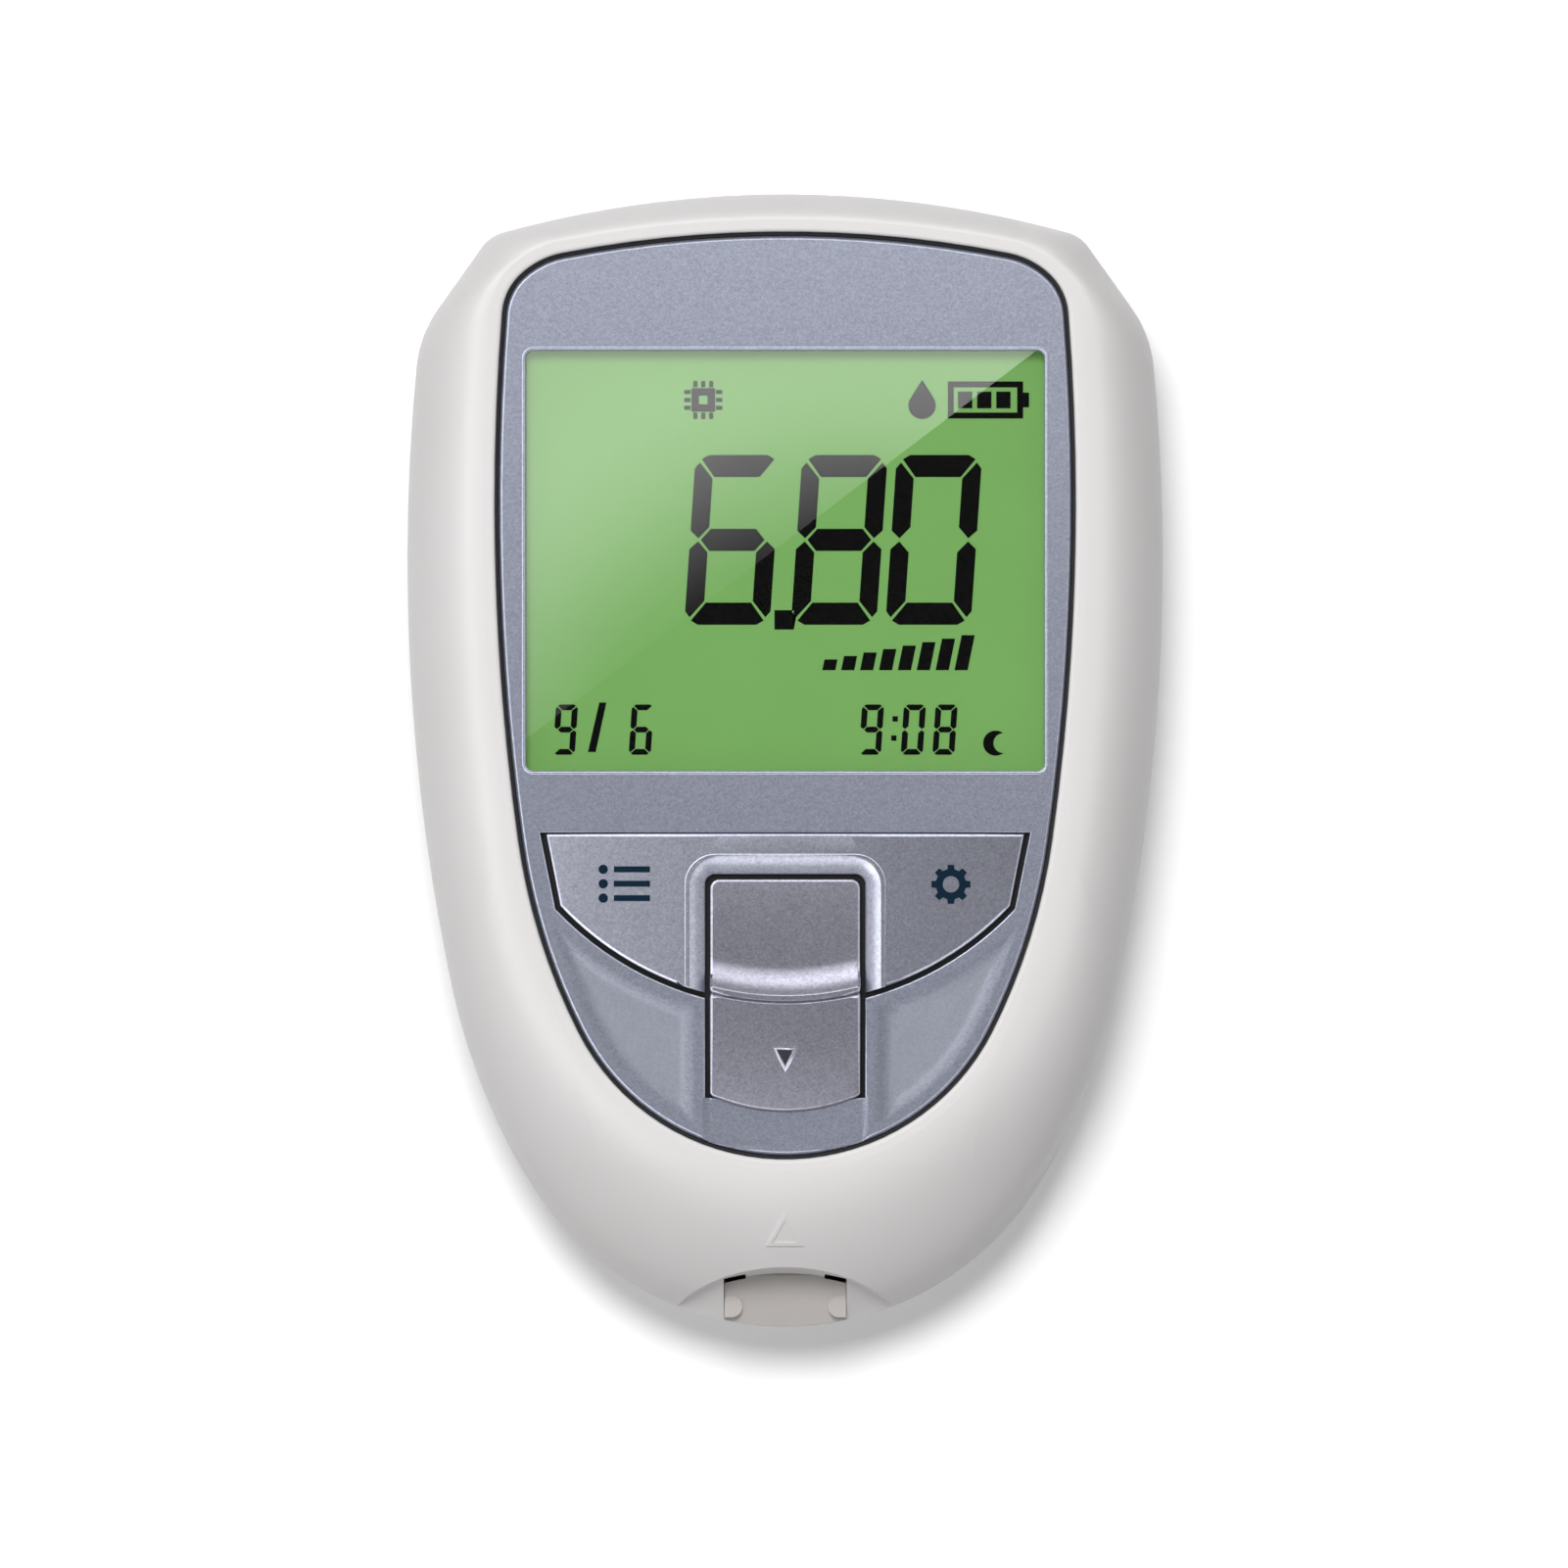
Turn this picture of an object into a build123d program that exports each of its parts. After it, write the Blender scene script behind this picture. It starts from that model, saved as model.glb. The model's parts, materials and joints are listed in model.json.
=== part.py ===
from build123d import *
import os
from dataclasses import dataclass, fields
from math import cos, radians, sin, sqrt

# Handheld blood glucose meter. It lies on its back with the display up:
# +Z is out of the display, +Y points to the top of the meter and +X to its right.
# The origin is the middle of the outline, on the flat of the back. Millimetres.

os.makedirs("parts", exist_ok=True)

# %% Driving dimensions

# Front layout, from the top of the meter down its centre line
SHELL_TOP_BAND = 3.3  # body end to face opening
WINDOW_DROP = 10.0  # face opening to window
WINDOW_HEIGHT = 35.0
KEY_DROP = 5.3  # window to key plate
SLIDER_DROP = 3.8  # key plate to slider
SLIDER_LENGTH = 19.45
EJECT_TRAVEL = 2.5
SLIDER_END_ROOM = 1.5  # pushed slider to face opening
NOSE_LENGTH = 14.15  # face opening to the tip

# Front layout, across
WINDOW_WIDTH = 43.2
BEZEL_SIDE = 2.7
SHELL_SIDE_BAND = 7.4

# Curves of the body outline
BODY_WIDEST_DROP = 30.7  # from the top end
BODY_SIDE_RADIUS = 173.0
BODY_TOP_RADIUS = 89.0
BODY_TIP_RADIUS = 25.0
BODY_HAUNCH_DROP = 66.6  # where the side arc starts to turn in
BODY_SHOULDER_INSET = 6.9  # shoulder facet, from the widest line
BODY_SHOULDER_DROP = 11.8  # shoulder facet, from the top end
BODY_TOP_CORNER = 3.0
BODY_SIDE_CORNER = 10.0

# Curves of the face opening
FACE_WIDEST_DROP = 22.7
FACE_SIDE_RADIUS = 202.5
FACE_TOP_RADIUS = 97.5
FACE_TIP_RADIUS = 19.4
FACE_HAUNCH_DROP = 50.9
FACE_SHOULDER_INSET = 4.0
FACE_SHOULDER_DROP = 4.6
FACE_TOP_CORNER = 7.0
FACE_SIDE_CORNER = 5.0
SMALLEST_CORNER = 0.8

# Stack, from the back to the front
FLOOR_THICKNESS = 1.8
CELL_ROOM = 0.3
CELL_DIAMETER = 10.5
CELL_LENGTH = 44.5
BAY_CEILING = 1.2
BOARD_ROOM = 0.9
BOARD_THICKNESS = 1.2
LIGHT_THICKNESS = 1.8
GLASS_THICKNESS = 0.65
FRAME_LIP = 0.3
LENS_ROOM = 0.5
LENS_FLANGE = 0.4
FACE_THICKNESS = 1.2
RIM_RISE = 0.4  # shell rim above the faceplate
PARTING_HEIGHT = 9.5

# Shells
WALL = 1.7
ROOF = 1.7
BACK_INSET = 5.0  # flat of the back, in from the outline
NOSE_POWER = 1.4  # how evenly the nose slopes: 1 is straight, 2 is round
SCOOP_POWER = 1.15
PARTING_BEVEL = 0.2
RIM_LAND = 1.0
RIM_FILLET = 0.35
LIP_THICKNESS = 0.9
LIP_HEIGHT = 1.2
LIP_CLEARANCE = 0.2
LEDGE_WIDTH = 1.0
LEDGE_THICKNESS = 0.6
SKIRT_THICKNESS = 1.2

# Faceplate, gasket and lens
FACE_GAP = 0.36
FACE_CHAMFER = 0.22
GASKET_THICKNESS = 0.25
GASKET_RISE = 0.7
GASKET_CLEARANCE = 0.05
DECK_CLEARANCE = 0.15
DECK_SEAT = 0.1  # deck top below the underside of the plate
DECK_FLOOR = 1.1
DECK_ABOVE_KEYS = 1.3
BEAD_WIDTH = 0.3
BEAD_HEIGHT = 0.12
BEAD_SETBACK = 0.12
POOL_DEPTH = 0.18
POOL_SLOPE = 1.5
POOL_LIP = 0.8
LENS_CLEARANCE = 0.05
LENS_FLANGE_WIDTH = 0.6
LENS_RECESS = 0.3
WINDOW_CORNER = 0.6

# Key plate, which rocks about the centre line
KEY_HALF_WIDTH = 20.05
KEY_SIDE_LEAN = 11.6  # degrees
KEY_ARC_RADIUS = 25.9
KEY_ARC_CENTRE_RISE = 11.7  # arc centre above the plate's top edge
KEY_GAP = 0.42
KEY_TOP_GAP = 0.05
KEY_CROWN_RADIUS = 400.0
KEY_CROWN_RISE = 0.55  # crown above the faceplate
KEY_UNDER_ROOM = 0.65
RIM_BEVEL_WIDTH = 1.75
RIM_BEVEL_DEPTH = 0.75
RIM_STEP = 0.12
RIM_ROLL = 75.0  # degrees that the rim's rounded bevel turns through
RIM_CORNER = 2.6
SLOT_CORNER = 0.85
KNUCKLE_RADIUS = 0.7
KNUCKLE_LENGTH = 2.5
KNUCKLE_SETBACK = 0.5
RUNNING_CLEARANCE = 0.05
PLUNGER_X = 15.0
PLUNGER_DROP = 5.4
PLUNGER_RADIUS = 1.25
PLUNGER_HOLE_CLEARANCE = 0.35
FOOT_RADIUS = 1.9
FOOT_THICKNESS = 0.55
ROCK_ROOM = 0.55

# Slider and ejector
SLIDER_HALF_WIDTH = 6.3
SLIDER_GAP = 0.38
SLIDER_FLOAT = 0.1
SLIDER_CORNER = 0.8
SLIDER_END_RADIUS = 15.0
PAD_RECESS = 0.25  # upper pad below the faceplate
RIDGE_RISE = 0.8  # ridge above the faceplate
RIDGE_WIDTH = 0.45
RAMP_WIDTH = 2.7
RAMP_SAG = 0.14  # how hollow the ramp is, as a share of its width
CREASE_WIDTH = 0.25
CREASE_DEPTH = 0.3
LOWER_PAD_DROP = 0.15
LOWER_PAD_FALL = 0.4
LIP_LENGTH = 3.75
CHANNEL_DEPTH = 0.25
CHANNEL_SLOPE = 0.7
CHANNEL_LENGTH = 2.55
MARK_WIDTH = 2.1
MARK_HEIGHT = 2.2
MARK_DEPTH = 0.2
MARK_TAPER = 50.0  # degrees
MARK_RISE = 4.3  # centre of the mark above the slider's end
LEG_HALF_WIDTH = 1.6
LEG_LENGTH = 4.4
LEG_SETBACK = 3.4
CARRIAGE_HALF_WIDTH = 3.2
CARRIAGE_THICKNESS = 1.0
CARRIAGE_LENGTH = 18.2
CARRIAGE_LEAD = 0.8  # carriage beyond the slider's leg
PUSHER_HALF_WIDTH = 1.5
PUSHER_LENGTH = 1.4
PUSHER_FOOT_HALF_WIDTH = 2.8
PUSHER_FOOT_HEIGHT = 0.8
SLOT_CLEARANCE = 0.25
SPRING_X = 4.7
SPRING_RADIUS = 0.85
SPRING_WIRE = 0.3
SPRING_LENGTH = 7.5
SPRING_TURNS = 8
SPRING_SEAT = 0.05
SPRING_DROP = 1.4  # spring axis below the deck
LUG_THICKNESS = 1.2
LUG_HALF_WIDTH = 1.2

# Strip port in the nose
PORT_HALF_WIDTH = 5.15
STRIP_ROOM = 1.3
STRIP_DROP = 2.7  # strip channel's floor below the board
TRAY_THICKNESS = 1.5
TRAY_CLEARANCE = 0.05
TRAY_TIP_DROP = 2.2  # fall of the tongue to the tip
ARCH_APEX_RISE = 5.0  # above the tip
ARCH_BASE_RADIUS = 19.5
ARCH_LEAN = 0.155  # growth of the arch's radius with height
ARCH_APEX_HEIGHT = 16.6
PORT_SOLID_LENGTH = 6.5
SLIT_INNER_X = 3.3
SLIT_WIDTH = 0.2
NUB_RADIUS = 0.9
NUB_REACH = 1.5
NUB_RISE = 1.7
NUB_DROP = 0.9  # top of the nubs below the strip
INSERT_MARK_WIDTH = 3.1
INSERT_MARK_HEIGHT = 2.75
INSERT_MARK_LINE = 0.28
INSERT_MARK_RELIEF = 0.16
INSERT_MARK_RISE = 8.25
CONNECTOR_HALF_WIDTH = 6.5
CONNECTOR_LENGTH = 6.0
CONNECTOR_RISE = 7.6
CONTACT_COUNT = 5
CONTACT_PITCH = 1.9
CONTACT_WIDTH = 0.6
CONTACT_THICKNESS = 0.25
CONTACT_POCKET = 0.15

# Display stack under the lens
GLASS_SIDE_MARGIN = 0.35
GLASS_TOP_MARGIN = 1.4
GLASS_LEDGE = 2.3
GLASS_FIT = 0.1
FRAME_WALL = 0.45
VIEW_MARGIN = 0.1
RUBBER_WIDTH = 1.4
RUBBER_END = 1.5

# Circuit board
BOARD_EDGE_CLEARANCE = 0.4
NOTCH_CLEARANCE = 0.4
MCU_SIZE = 9.0
MCU_HEIGHT = 1.4
ANALOG_WIDTH = 6.0
ANALOG_LENGTH = 9.9
ANALOG_HEIGHT = 1.5
MEMORY_WIDTH = 4.9
MEMORY_LENGTH = 3.9
MEMORY_HEIGHT = 1.2
CRYSTAL_RADIUS = 1.0
CRYSTAL_LENGTH = 6.2
BUZZER_RADIUS = 5.4
BUZZER_HEIGHT = 2.6
BUZZER_HOLE = 0.8
SIDE_PART_GAP = 0.9  # parts beside the battery bay

# Silicone key mat
MAT_THICKNESS = 0.6
MAT_HALF_WIDTH = 19.0
MAT_HALF_LENGTH = 3.7
DOME_RADIUS = 2.6
DOME_WALL = 0.6
DOME_SEAT = 0.05
PILL_RADIUS = 1.2
PILL_THICKNESS = 0.6

# Screws
SCREW_HEAD_RADIUS = 1.9
SCREW_HEAD_HEIGHT = 1.3
SCREW_RADIUS = 0.95
SCREW_LENGTH = 9.0
SCREW_RECESS = 3.4
SCREW_RECESS_CLEARANCE = 0.3
SCREW_HOLE_CLEARANCE = 0.2
THREAD_CLEARANCE = 0.03
POST_RADIUS = 3.2
BOSS_RADIUS = 2.2
BOSS_RIB_ROOM = 0.5  # boss rib above the parting lip
UPPER_SCREW_X = 17.0
UPPER_SCREW_DROP = 6.9
LOWER_SCREW_X = 19.2
LOWER_SCREW_RISE = 23.5
BOARD_SCREW_HEAD_RADIUS = 1.6
BOARD_SCREW_HEAD_HEIGHT = 0.9
BOARD_SCREW_RADIUS = 0.7
BOARD_SCREW_LENGTH = 3.4
BOARD_BOSS_RADIUS = 1.9
SIDE_BOARD_SCREW_X = 25.6
SIDE_BOARD_SCREW_DROP = 25.5
NOSE_BOARD_SCREW_X = 11.0
NOSE_BOARD_SCREW_RISE = 12.0
SLIDER_SCREW_RADIUS = 0.5
SLIDER_SCREW_HEAD_RADIUS = 1.1
SLIDER_SCREW_HEAD_HEIGHT = 0.6
SLIDER_SCREW_BITE = 0.5
DRIVE_RADIUS = 0.9
DRIVE_DEPTH = 0.6
DRIVE_WIDTH = 0.45

# Battery bay and door
BAY_SIDE_ROOM = 0.5
BAY_WALL = 1.2
CELL_PITCH = 11.0
CONTACT_SHEET = 0.4
CONTACT_SEAT = 0.05
CELL_SPRING_LENGTH = 3.0
CELL_SPRING_RADIUS = 2.4
CELL_SPRING_WIRE = 0.5
CELL_SPRING_TURNS = 3
CELL_CAP_RADIUS = 1.9
CELL_CAP_HEIGHT = 0.9
BAY_DROP = 13.05  # bay's upper end, from the top of the body
PLATE_HALF_WIDTH = 4.4
DOOR_GAP = 0.25
DOOR_SIDE_OVERHANG = 0.1
DOOR_ROOT = 2.45  # hinge line beyond the bay's lower wall
DOOR_END_ROOM = 2.6
DOOR_SWING_GAP = 0.2
HOOK_X = 7.0
HOOK_WIDTH = 3.0
HOOK_REACH = 1.3
HOOK_THICKNESS = 0.9
HOOK_LIFT = 0.15
HOOK_SETBACK = 0.3  # hook's root, in from the rounded edge
HOOK_ROOT = 0.4  # hook sunk into the door
LATCH_WIDTH = 8.0
LATCH_HEIGHT = 4.6
LATCH_THICKNESS = 0.9
LATCH_CATCH = 0.5
LATCH_CATCH_LIFT = 0.15
LATCH_SETBACK = 0.3
GRIP_COUNT = 4
GRIP_PITCH = 1.8
GRIP_WIDTH = 0.8
GRIP_DEPTH = 0.5
GRIP_LENGTH = 10.0
LABEL_WIDTH = 24.0
LABEL_HEIGHT = 11.0
LABEL_THICKNESS = 0.1
LABEL_RECESS = 0.2
LABEL_RISE = 20.5

# %% Levels and places that follow from them

BODY_LENGTH = (
    SHELL_TOP_BAND + WINDOW_DROP + WINDOW_HEIGHT + KEY_DROP + SLIDER_DROP
    + SLIDER_LENGTH + EJECT_TRAVEL + SLIDER_END_ROOM + NOSE_LENGTH
)
TOP_Y = BODY_LENGTH / 2
TIP_Y = -BODY_LENGTH / 2
FACE_TOP_Y = TOP_Y - SHELL_TOP_BAND
FACE_TIP_Y = TIP_Y + NOSE_LENGTH
WINDOW_TOP_Y = FACE_TOP_Y - WINDOW_DROP
WINDOW_LOW_Y = WINDOW_TOP_Y - WINDOW_HEIGHT
KEY_TOP_Y = WINDOW_LOW_Y - KEY_DROP
KEY_CENTRE_Y = KEY_TOP_Y + KEY_ARC_CENTRE_RISE
SLIDER_TOP_Y = KEY_TOP_Y - SLIDER_DROP
SLIDER_END_Y = SLIDER_TOP_Y - SLIDER_LENGTH
SLOT_HALF_WIDTH = SLIDER_HALF_WIDTH + SLIDER_GAP
SLOT_TOP_Y = SLIDER_TOP_Y + SLIDER_GAP
FACE_HALF_WIDTH = WINDOW_WIDTH / 2 + BEZEL_SIDE
BODY_HALF_WIDTH = FACE_HALF_WIDTH + SHELL_SIDE_BAND

CELL_Z = FLOOR_THICKNESS + CELL_ROOM + CELL_DIAMETER / 2
CEILING_Z = CELL_Z + CELL_DIAMETER / 2 + CELL_ROOM
BOARD_Z = CEILING_Z + BAY_CEILING + BOARD_ROOM
BOARD_TOP_Z = BOARD_Z + BOARD_THICKNESS
GLASS_Z = BOARD_TOP_Z + LIGHT_THICKNESS
GLASS_TOP_Z = GLASS_Z + 2 * GLASS_THICKNESS
FRAME_TOP_Z = GLASS_TOP_Z + FRAME_LIP
LENS_Z = FRAME_TOP_Z + LENS_ROOM
FACE_UNDER_Z = LENS_Z + LENS_FLANGE
FACE_Z = FACE_UNDER_Z + FACE_THICKNESS
RIM_Z = FACE_Z + RIM_RISE
LEDGE_TOP_Z = FACE_UNDER_Z - GASKET_THICKNESS
LEDGE_Z = LEDGE_TOP_Z - LEDGE_THICKNESS
DECK_TOP_Z = FACE_UNDER_Z - DECK_SEAT
DECK_Z = DECK_TOP_Z - DECK_FLOOR
KEY_UNDER_Z = DECK_TOP_Z + KEY_UNDER_ROOM
KEY_CROWN_Z = FACE_Z + KEY_CROWN_RISE
FOOT_TOP_Z = DECK_Z - ROCK_ROOM
FOOT_Z = FOOT_TOP_Z - FOOT_THICKNESS
PLUNGER_Y = KEY_TOP_Y - PLUNGER_DROP
STRIP_Z = BOARD_Z - STRIP_DROP
TRAY_Z = STRIP_Z - TRAY_THICKNESS
ARCH_CENTRE_Y = (
    TIP_Y + ARCH_APEX_RISE - ARCH_BASE_RADIUS - ARCH_LEAN * (ARCH_APEX_HEIGHT - PARTING_HEIGHT)
)
SOLID_NOSE_Y = TIP_Y + PORT_SOLID_LENGTH

BAY_HALF_WIDTH = CELL_PITCH / 2 + CELL_DIAMETER / 2 + BAY_SIDE_ROOM
BAY_TOP_Y = TOP_Y - BAY_DROP
PLATE_TOP_Y = BAY_TOP_Y - CONTACT_SEAT
CELL_SPACE_TOP_Y = PLATE_TOP_Y - CONTACT_SHEET
CELL_SPACE_LOW_Y = CELL_SPACE_TOP_Y - CELL_LENGTH - CELL_SPRING_LENGTH
PLATE_LOW_Y = CELL_SPACE_LOW_Y - CONTACT_SHEET
BAY_LOW_Y = PLATE_LOW_Y - CONTACT_SEAT
HINGE_Y = BAY_LOW_Y - BAY_WALL - DOOR_ROOT
HINGE_Z = FLOOR_THICKNESS / 2
DOOR_TOP_Y = BAY_TOP_Y + BAY_WALL + DOOR_END_ROOM
DOOR_HALF_WIDTH = BAY_HALF_WIDTH - DOOR_GAP - DOOR_SIDE_OVERHANG

LEG_TOP_Y = SLIDER_TOP_Y - LEG_SETBACK
LEG_LOW_Y = LEG_TOP_Y - LEG_LENGTH
CARRIAGE_TOP_Z = DECK_Z - SLIDER_FLOAT
CARRIAGE_Z = CARRIAGE_TOP_Z - CARRIAGE_THICKNESS
CARRIAGE_TOP_Y = LEG_TOP_Y + CARRIAGE_LEAD
PUSHER_LOW_Y = CARRIAGE_TOP_Y - CARRIAGE_LENGTH
PUSHER_TOP_Y = PUSHER_LOW_Y + PUSHER_LENGTH
SPRING_Z = DECK_Z - SPRING_DROP
SPRING_LOW_Y = PUSHER_TOP_Y
LUG_LOW_Y = SPRING_LOW_Y + SPRING_LENGTH


# %% Outlines

@dataclass(frozen=True)
class Outline:
    """Closed outline, the same left and right: a crowned top edge, a straight facet
    across each shoulder, a long side arc, a tighter haunch arc and a round tip."""

    half_width: float
    widest_y: float
    top_y: float
    tip_y: float
    top_radius: float
    side_radius: float
    tip_radius: float
    haunch_y: float
    shoulder_x: float
    shoulder_y: float
    top_corner: float
    side_corner: float


BODY = Outline(
    half_width=BODY_HALF_WIDTH,
    widest_y=TOP_Y - BODY_WIDEST_DROP,
    top_y=TOP_Y,
    tip_y=TIP_Y,
    top_radius=BODY_TOP_RADIUS,
    side_radius=BODY_SIDE_RADIUS,
    tip_radius=BODY_TIP_RADIUS,
    haunch_y=TOP_Y - BODY_HAUNCH_DROP,
    shoulder_x=BODY_HALF_WIDTH - BODY_SHOULDER_INSET,
    shoulder_y=TOP_Y - BODY_SHOULDER_DROP,
    top_corner=BODY_TOP_CORNER,
    side_corner=BODY_SIDE_CORNER,
)
FACE = Outline(
    half_width=FACE_HALF_WIDTH,
    widest_y=FACE_TOP_Y - FACE_WIDEST_DROP,
    top_y=FACE_TOP_Y,
    tip_y=FACE_TIP_Y,
    top_radius=FACE_TOP_RADIUS,
    side_radius=FACE_SIDE_RADIUS,
    tip_radius=FACE_TIP_RADIUS,
    haunch_y=FACE_TOP_Y - FACE_HAUNCH_DROP,
    shoulder_x=FACE_HALF_WIDTH - FACE_SHOULDER_INSET,
    shoulder_y=FACE_TOP_Y - FACE_SHOULDER_DROP,
    top_corner=FACE_TOP_CORNER,
    side_corner=FACE_SIDE_CORNER,
)


def top_centre(o):
    return Vector(0, o.top_y - o.top_radius)


def side_centre(o):
    return Vector(o.half_width - o.side_radius, o.widest_y)


def tip_centre(o):
    return Vector(0, o.tip_y + o.tip_radius)


def on_side(o, y):
    centre = side_centre(o)
    return Vector(centre.X + sqrt(o.side_radius**2 - (y - centre.Y) ** 2), y)


def on_top(o, x):
    return Vector(x, top_centre(o).Y + sqrt(o.top_radius**2 - x**2))


def haunch_circle(o):
    """Centre and radius of the arc that leaves the side arc at haunch_y
    and meets the tip arc, tangent to both."""
    start = on_side(o, o.haunch_y)
    normal = (start - side_centre(o)).normalized()
    reach = start - tip_centre(o)
    radius = (reach.dot(reach) - o.tip_radius**2) / (2 * (normal.dot(reach) - o.tip_radius))
    return start - normal * radius, radius


def inset(o, distance):
    """The outline moved inward by a distance, or outward by a negative one."""
    shoulder_top = on_top(o, o.shoulder_x)
    shoulder_side = on_side(o, o.shoulder_y)
    facet = (shoulder_top - shoulder_side).normalized()
    facet_normal = Vector(facet.Y, -facet.X)
    top_normal = (shoulder_top - top_centre(o)).normalized()
    side_normal = (shoulder_side - side_centre(o)).normalized()
    top_step = (top_normal + facet_normal) * (distance / (1 + top_normal.dot(facet_normal)))
    side_step = (side_normal + facet_normal) * (distance / (1 + side_normal.dot(facet_normal)))
    haunch = on_side(o, o.haunch_y)
    haunch_normal = (haunch - side_centre(o)).normalized()
    return Outline(
        half_width=o.half_width - distance,
        widest_y=o.widest_y,
        top_y=o.top_y - distance,
        tip_y=o.tip_y + distance,
        top_radius=o.top_radius - distance,
        side_radius=o.side_radius - distance,
        tip_radius=o.tip_radius - distance,
        haunch_y=haunch.Y - haunch_normal.Y * distance,
        shoulder_x=shoulder_top.X - top_step.X,
        shoulder_y=shoulder_side.Y - side_step.Y,
        top_corner=max(o.top_corner - distance, SMALLEST_CORNER),
        side_corner=max(o.side_corner - distance, SMALLEST_CORNER),
    )


def between(low, high, share, tip_share):
    """An outline part of the way from one to another; the tip has its own share."""
    mixed = {
        field.name: getattr(low, field.name) * (1 - share) + getattr(high, field.name) * share
        for field in fields(Outline)
    }
    mixed["tip_y"] = low.tip_y * (1 - tip_share) + high.tip_y * tip_share
    return Outline(**mixed)


def arc_about(centre, start, end):
    middle = ((start - centre).normalized() + (end - centre).normalized()).normalized()
    return ThreePointArc(start, centre + middle * (start - centre).length, end)


def flat(o):
    """The outline as a face on the XY plane."""
    shoulder_top = on_top(o, o.shoulder_x)
    shoulder_side = on_side(o, o.shoulder_y)
    haunch = on_side(o, o.haunch_y)
    haunch_centre, haunch_radius = haunch_circle(o)
    tip_start = haunch_centre + (tip_centre(o) - haunch_centre).normalized() * haunch_radius
    right = [
        Line(shoulder_top, shoulder_side),
        arc_about(side_centre(o), shoulder_side, haunch),
        arc_about(haunch_centre, haunch, tip_start),
    ]
    left = [edge.mirror(Plane.YZ) for edge in right]
    top = arc_about(top_centre(o), Vector(-shoulder_top.X, shoulder_top.Y), shoulder_top)
    tip = arc_about(tip_centre(o), tip_start, Vector(-tip_start.X, tip_start.Y))
    face = make_face([top, *right, tip, *left])
    for corner, radius in ((shoulder_top, o.top_corner), (shoulder_side, o.side_corner)):
        both = face.vertices().filter_by(lambda v: (Vector(abs(v.X), v.Y) - corner).length < 0.01)
        face = fillet(both, radius)
    return face


# %% Plain solids

def prism(o, low, high):
    return Pos(0, 0, low) * extrude(flat(o), high - low)


def block(x0, x1, y0, y1, z0, z1):
    size = Box(x1 - x0, y1 - y0, z1 - z0)
    return Pos((x0 + x1) / 2, (y0 + y1) / 2, (z0 + z1) / 2) * size


def drum(x, y, radius, low, high):
    return Pos(x, y, (low + high) / 2) * Cylinder(radius, high - low)


def drum_along_y(x, z, radius, low, high):
    return Pos(x, (low + high) / 2, z) * Rot(90, 0, 0) * Cylinder(radius, high - low)


def both_sides(shape):
    return shape + shape.mirror(Plane.YZ)


def coil_along_y(x, z, radius, wire, low, high, turns):
    """A wound spring whose wire stays between two planes."""
    length = high - low - wire
    path = Helix(pitch=length / turns, height=length, radius=radius)
    section = Plane(origin=path @ 0, z_dir=path % 0) * Circle(wire / 2)
    return Pos(x, high - wire / 2, z) * Rot(90, 0, 0) * sweep(section, path=path)


def group(*solids):
    return Compound(children=[solid for shape in solids for solid in shape.solids()])


# %% Domed forms of the two shells

SECTION_ANGLES = (0, 20, 38, 54, 68, 80, 90)


def level_outline(low, high, level, tip_power):
    """Outline at a level, from 0 at the parting line to 1 at the far end."""
    share = 1 - sqrt(1 - level**2)
    tip_share = 1 - (1 - level**tip_power) ** (1 / tip_power)
    return between(low, high, share, tip_share)


def domed(low, high, start_z, end_z, tip_power):
    """A solid that leaves the parting line upright and rounds over to its far end."""
    sections = []
    for angle in SECTION_ANGLES:
        level = min(sin(radians(angle)), 1.0)
        outline = level_outline(low, high, level, tip_power)
        sections.append(Pos(0, 0, start_z + (end_z - start_z) * level) * flat(outline))
    return loft(sections)


def cavity_outline(z):
    """Outline of the top housing's inside at a height."""
    level = (z - PARTING_HEIGHT) / (RIM_Z - ROOF - PARTING_HEIGHT)
    return level_outline(inset(BODY, WALL), inset(FACE, WALL - RIM_LAND), level, NOSE_POWER)


def bevelled(outer, direction):
    """A shell's outside with a small bevel along its parting edge."""
    z = PARTING_HEIGHT
    band = loft(
        [
            Pos(0, 0, z) * flat(inset(BODY, PARTING_BEVEL)),
            Pos(0, 0, z + direction * PARTING_BEVEL) * flat(BODY),
        ],
        ruled=True,
    )
    return outer + band


def upper_form(tip_power=NOSE_POWER):
    start = PARTING_HEIGHT + PARTING_BEVEL
    return bevelled(domed(BODY, inset(FACE, -RIM_LAND), start, RIM_Z, tip_power), 1)


def lower_form():
    start = PARTING_HEIGHT - PARTING_BEVEL
    return bevelled(domed(BODY, inset(BODY, BACK_INSET), start, 0, 2), -1)


# %% Screw places

HOUSING_SCREWS = [
    (side * x, y)
    for x, y in (
        (UPPER_SCREW_X, TOP_Y - UPPER_SCREW_DROP),
        (LOWER_SCREW_X, TIP_Y + LOWER_SCREW_RISE),
    )
    for side in (-1, 1)
]
BOARD_SCREWS = [
    (side * x, y)
    for x, y in (
        (SIDE_BOARD_SCREW_X, TOP_Y - SIDE_BOARD_SCREW_DROP),
        (NOSE_BOARD_SCREW_X, TIP_Y + NOSE_BOARD_SCREW_RISE),
    )
    for side in (-1, 1)
]


def screw(x, y, under_head, head_radius, head_height, radius, length):
    """A cross-head screw that points up, with the underside of its head at a height."""
    body = drum(x, y, head_radius, under_head - head_height, under_head)
    body += drum(x, y, radius, under_head, under_head + length)
    low = under_head - head_height
    for half_x, half_y in ((DRIVE_RADIUS, DRIVE_WIDTH / 2), (DRIVE_WIDTH / 2, DRIVE_RADIUS)):
        body -= block(x - half_x, x + half_x, y - half_y, y + half_y, low, low + DRIVE_DEPTH)
    return body


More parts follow.
